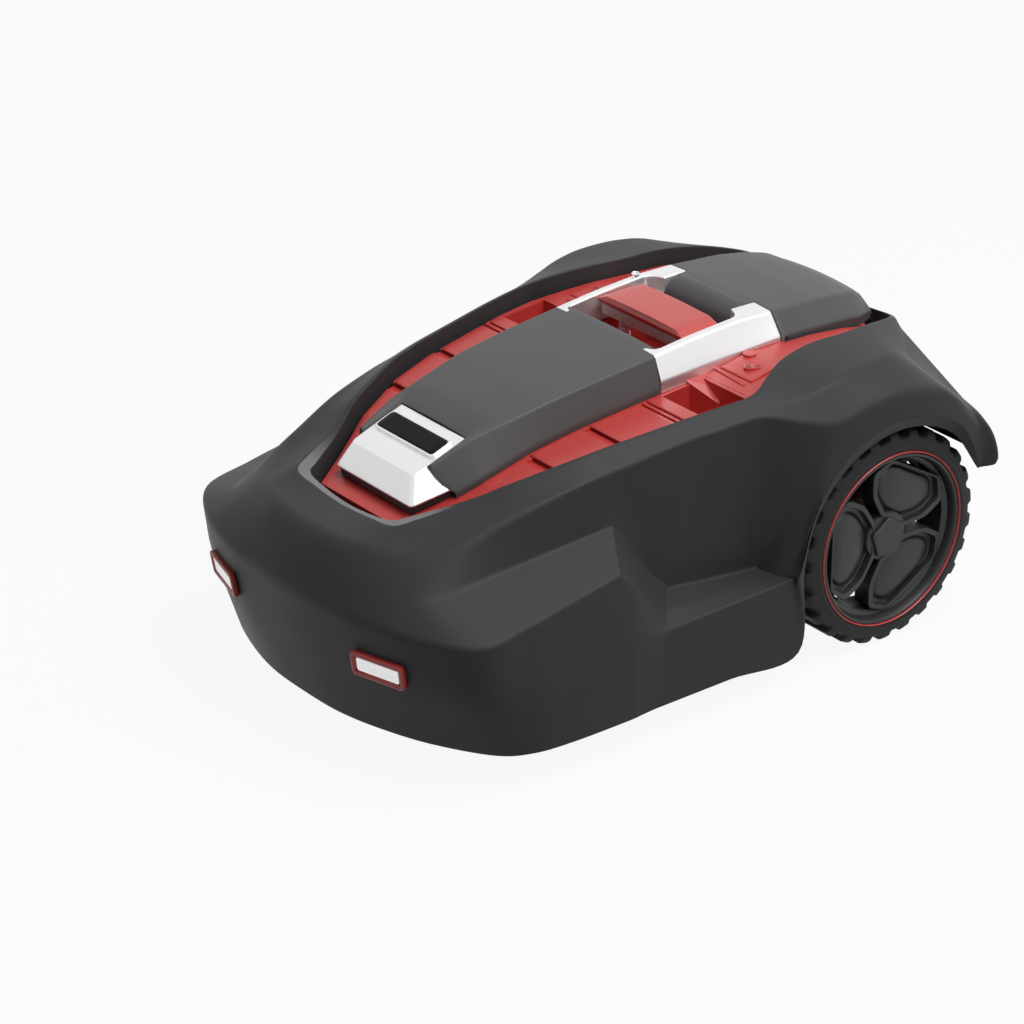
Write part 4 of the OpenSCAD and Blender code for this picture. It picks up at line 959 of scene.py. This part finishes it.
def on_contact(points, side):
    """Places points drawn flat on z = 0, face to +Z, on the shell's contact face."""
    turn, tilt = math.radians(15.14), math.radians(100)
    x, y, z = points[..., 0], points[..., 1], points[..., 2]
    y, z = y * math.cos(tilt) - z * math.sin(tilt), y * math.sin(tilt) + z * math.cos(tilt)
    x, y = x * math.cos(turn) - y * math.sin(turn), x * math.sin(turn) + y * math.cos(turn)
    out = np.stack([x + 106.5, y - 282.35, z + 94.5], -1)
    return on_side(out, side)


for side, hand in ((1, "left"), (-1, "right")):
    ring = slab_loops((26.5, 11.5, 4.5), [(0.3, -0.6), (0, 0.6), (0, 3.0), (0.5, 3.8), (1.2, 4.1), (3.0, 4.1),
                                          (3.8, 3.7), (4.2, 3.0), (4.4, 1.2)], 0, 8)
    stack_mesh(f"contact_ring_{hand}", on_contact(ring, side), RED, "shell",
               ("contact_frames",) if side > 0 else (), 30)
    strip = slab_loops((21.6, 6.7, 2.6), [(0, 0.9), (0, 2.4), (0.5, 3.0), (1.4, 3.3)], 0.5, 8)
    stack_mesh(f"contact_strip_{hand}", on_contact(strip, side), STRIP, "shell",
               ("contact_plates",) if side > 0 else (), 30)


# ---------------------------------------------------------------- rear wheels

def on_wheel(points, side):
    """Places points drawn as (rearward, up, outward) from the wheel's centre and outer face."""
    back, up, out = points[..., 0], points[..., 1], points[..., 2]
    return np.stack([side * (wheel_out + out), axle_y + back, wheel_z + up], -1)


def wheel_grid(name, points, side, material, body, replaces=(), wrap_rows=True):
    """A closed net of wheel points (rows, columns); columns always wrap."""
    out = on_wheel(points, side)
    if side < 0:
        out = out[:, ::-1]
    if not wrap_rows:
        return stack_mesh(name, out, material, body, replaces)
    faces = grid_faces(*out.shape[:2], True, True)
    return make(name, out.reshape(-1, 3), faces, material, body, replaces, SHARP)


def tyre_points(lugs=26):
    """Tyre skin: radius and depth of a closed profile, raised into lugs by a pulse round the wheel.

    The pulse is 1 on a lug, 0 between two, with sloping flanks; each profile point has its
    radius between lugs, its radius on a lug and its depth from the wheel's outer face.
    """
    profile = np.array([
        (78.7, 78.7, -0.4), (79.6, 79.6, 0), (82.5, 82.5, 0.2), (83.2, 83.2, -0.3), (86.6, 86.6, -0.6),
        (89.2, 90.4, -1.5), (90.2, 93.6, -2.6), (90.8, 96.2, -5.2), (91, 97, -7.5), (91, 97, -15),
        (91, 97, -22.5), (91, 97, -30), (91, 97, -37.5), (90.8, 96.2, -39.8), (90.2, 93.6, -42.4),
        (89.2, 90.4, -43.5), (86.6, 86.6, -44.4), (83, 83, -44.8), (79.6, 79.6, -45), (78.7, 78.7, -44.4),
        (78.7, 78.7, -30), (78.7, 78.7, -15)])
    step = np.array([0.0, 0.1, 0.19, 0.235, 0.27, 0.30, 0.34, 0.42,
                     0.5, 0.58, 0.66, 0.70, 0.73, 0.765, 0.81, 0.9])
    rising = np.interp(step, (0.19, 0.235, 0.30, 0.34), (0, 0.12, 0.95, 1))
    falling = np.interp(step, (0.66, 0.70, 0.765, 0.81), (1, 0.95, 0.12, 0))
    turn = (np.arange(lugs)[:, None] + step - 0.5).reshape(-1) * 2 * math.pi / lugs - math.pi / 2
    rise = np.tile(rising * falling, lugs)[:, None]
    radius = profile[:, 0] * (1 - rise) + profile[:, 1] * rise
    t = turn[:, None]
    return np.stack([radius * np.cos(t), radius * np.sin(t), profile[:, 2] + 0 * t], -1)


def turned(profile, n):
    """A closed (radius, depth) profile turned round the wheel's axis."""
    profile = np.asarray(profile, float)
    t = np.linspace(0, 2 * math.pi, n, endpoint=False)[:, None]
    r, h = profile[:, 0], profile[:, 1]
    return np.stack([r * np.cos(t), r * np.sin(t), h + 0 * t], -1)


def polar(radius, degrees, depth):
    """Points at a radius and an angle round the wheel, at a depth from its outer face."""
    a = np.radians(degrees)
    return np.stack([radius * np.cos(a), radius * np.sin(a), depth + 0 * a], -1)


def pod_points(direction):
    """One of the wheel's three pods: a hexagonal frame of ribs round a domed plate."""
    corner_r = np.array([19.0, 45, 65, 71, 71, 65, 45, 19])
    corner_a = np.array([-48.0, -54, -46, -28, 28, 46, 54, 48]) + direction
    outline = polar(corner_r, corner_a, 0)
    middle = polar(np.array([46.0]), np.array([direction]), 0)
    # Scale from the middle and depth of each level, from the back to the dome's top
    shape = [(1.0, -24), (1.0, -6.6), (0.89, -6.2), (0.86, -13.0),
             (0.78, -13.4), (0.70, -10.6), (0.48, -8.6), (0.22, -7.8)]
    levels = np.array([middle + (outline - middle) * scale + (0, 0, depth) for scale, depth in shape])
    cuts = np.array([[5, 6, 5, 5, 5, 5, 6, 5]] * 4 + [[8] * 8] * 4, float)
    return polygon_stack(levels, cuts, [0, 0.9, 0.9, 0.8, 1.0, 1.5, 2.5, 2])


def well_plate(side, hand):
    """Ring-shaped floor of the wheel well, seen through the rim's gaps."""
    profile = [(12, -49.6), (13, -48.6), (28, -48.6), (30, -49.6), (48, -49.6), (50, -48.6),
               (64, -48.6), (66, -49.6), (66, -51.6), (64, -52.6), (12, -52.6)]
    wheel_grid(f"well_plate_{hand}", turned(profile, 96), side, RED, "chassis")


def wheel(side, hand):
    """Tyre, thin red ring, stepped rim with three pods, and a five-sided cap."""
    body = f"wheel_{hand}"
    wheel_grid(f"tyre_skin_{hand}", tyre_points(), side, TYRE, body, (f"tyre_{hand}",))
    ring = [(76.9, -1.2), (77.1, 0.3), (77.6, 0.9), (78.2, 0.9),
            (78.7, 0.3), (78.8, -1.2), (78.7, -5.5), (77, -5.5)]
    wheel_grid(f"rim_ring_{hand}", turned(ring, 120), side, RED, body, (f"ring_{hand}",))
    rim = [(76.8, -39), (74, -40), (68.4, -39), (66.8, -37.5), (66.2, -34), (66.6, -20),
           (67.4, -11.2), (68.4, -10.2), (70.6, -9.6), (71.8, -8.6), (72.6, -5.2), (73.4, -1.4),
           (74.2, -0.2), (75.2, 0.2), (76.2, -0.1), (76.8, -1.0)]
    wheel_grid(f"rim_dish_{hand}", turned(rim, 120), side, RIM, body, (f"rim_{hand}",))
    for k, direction in enumerate((60, 180, 300), 1):
        wheel_grid(f"rim_pod_{hand}_{k}", pod_points(direction), side, RIM, body,
                   wrap_rows=False)
    hub = [(0.01, -30), (21, -30), (22, -28.5), (22, -9.5), (21.2, -8), (19.5, -7.4), (0.01, -7.4)]
    wheel_grid(f"rim_hub_{hand}", turned(hub[::-1], 60), side, RIM, body)
    angles = np.array([90.0, 162, 234, 306, 378])
    levels = np.array([polar(np.full(5, r), angles, h) for r, h in ((19.4, -8), (19.4, -4.4), (17.6, -3.4))])
    cap = polygon_stack(levels, 2.5, [0, 0.8, 0.8])
    wheel_grid(f"hub_cover_{hand}", cap, side, RIM, body, (f"hub_cap_{hand}",),
               wrap_rows=False)


for side, hand in ((1, "left"), (-1, "right")):
    wheel(side, hand)
    well_plate(side, hand)


# ---------------------------------------------------------------- carried-over pieces

FINISH = {
    "shell_plastic": SHELL, "cover_plastic": COVER, "red_plastic": RED, "silver_plastic": SILVER,
    "white_plastic": WHITE, "green_plastic": GREEN, "black_plastic": BLACK, "badge_black": BADGE,
    "wheel_plastic": RIM, "tyre_rubber": TYRE, "post_rubber": RUBBER, "steel": STEEL,
    "contact_metal": STRIP, "motor_metal": CAN, "sensor_chrome": CHROME, "display_glass": GLASS,
    "carriage_plastic": GREY, "disc_plastic": DISC}
for part in frame["record"]["subparts"]:
    for holder in frame["nodes"][part["node"]].material_slots:
        holder.material = FINISH[part["material_slot"]]
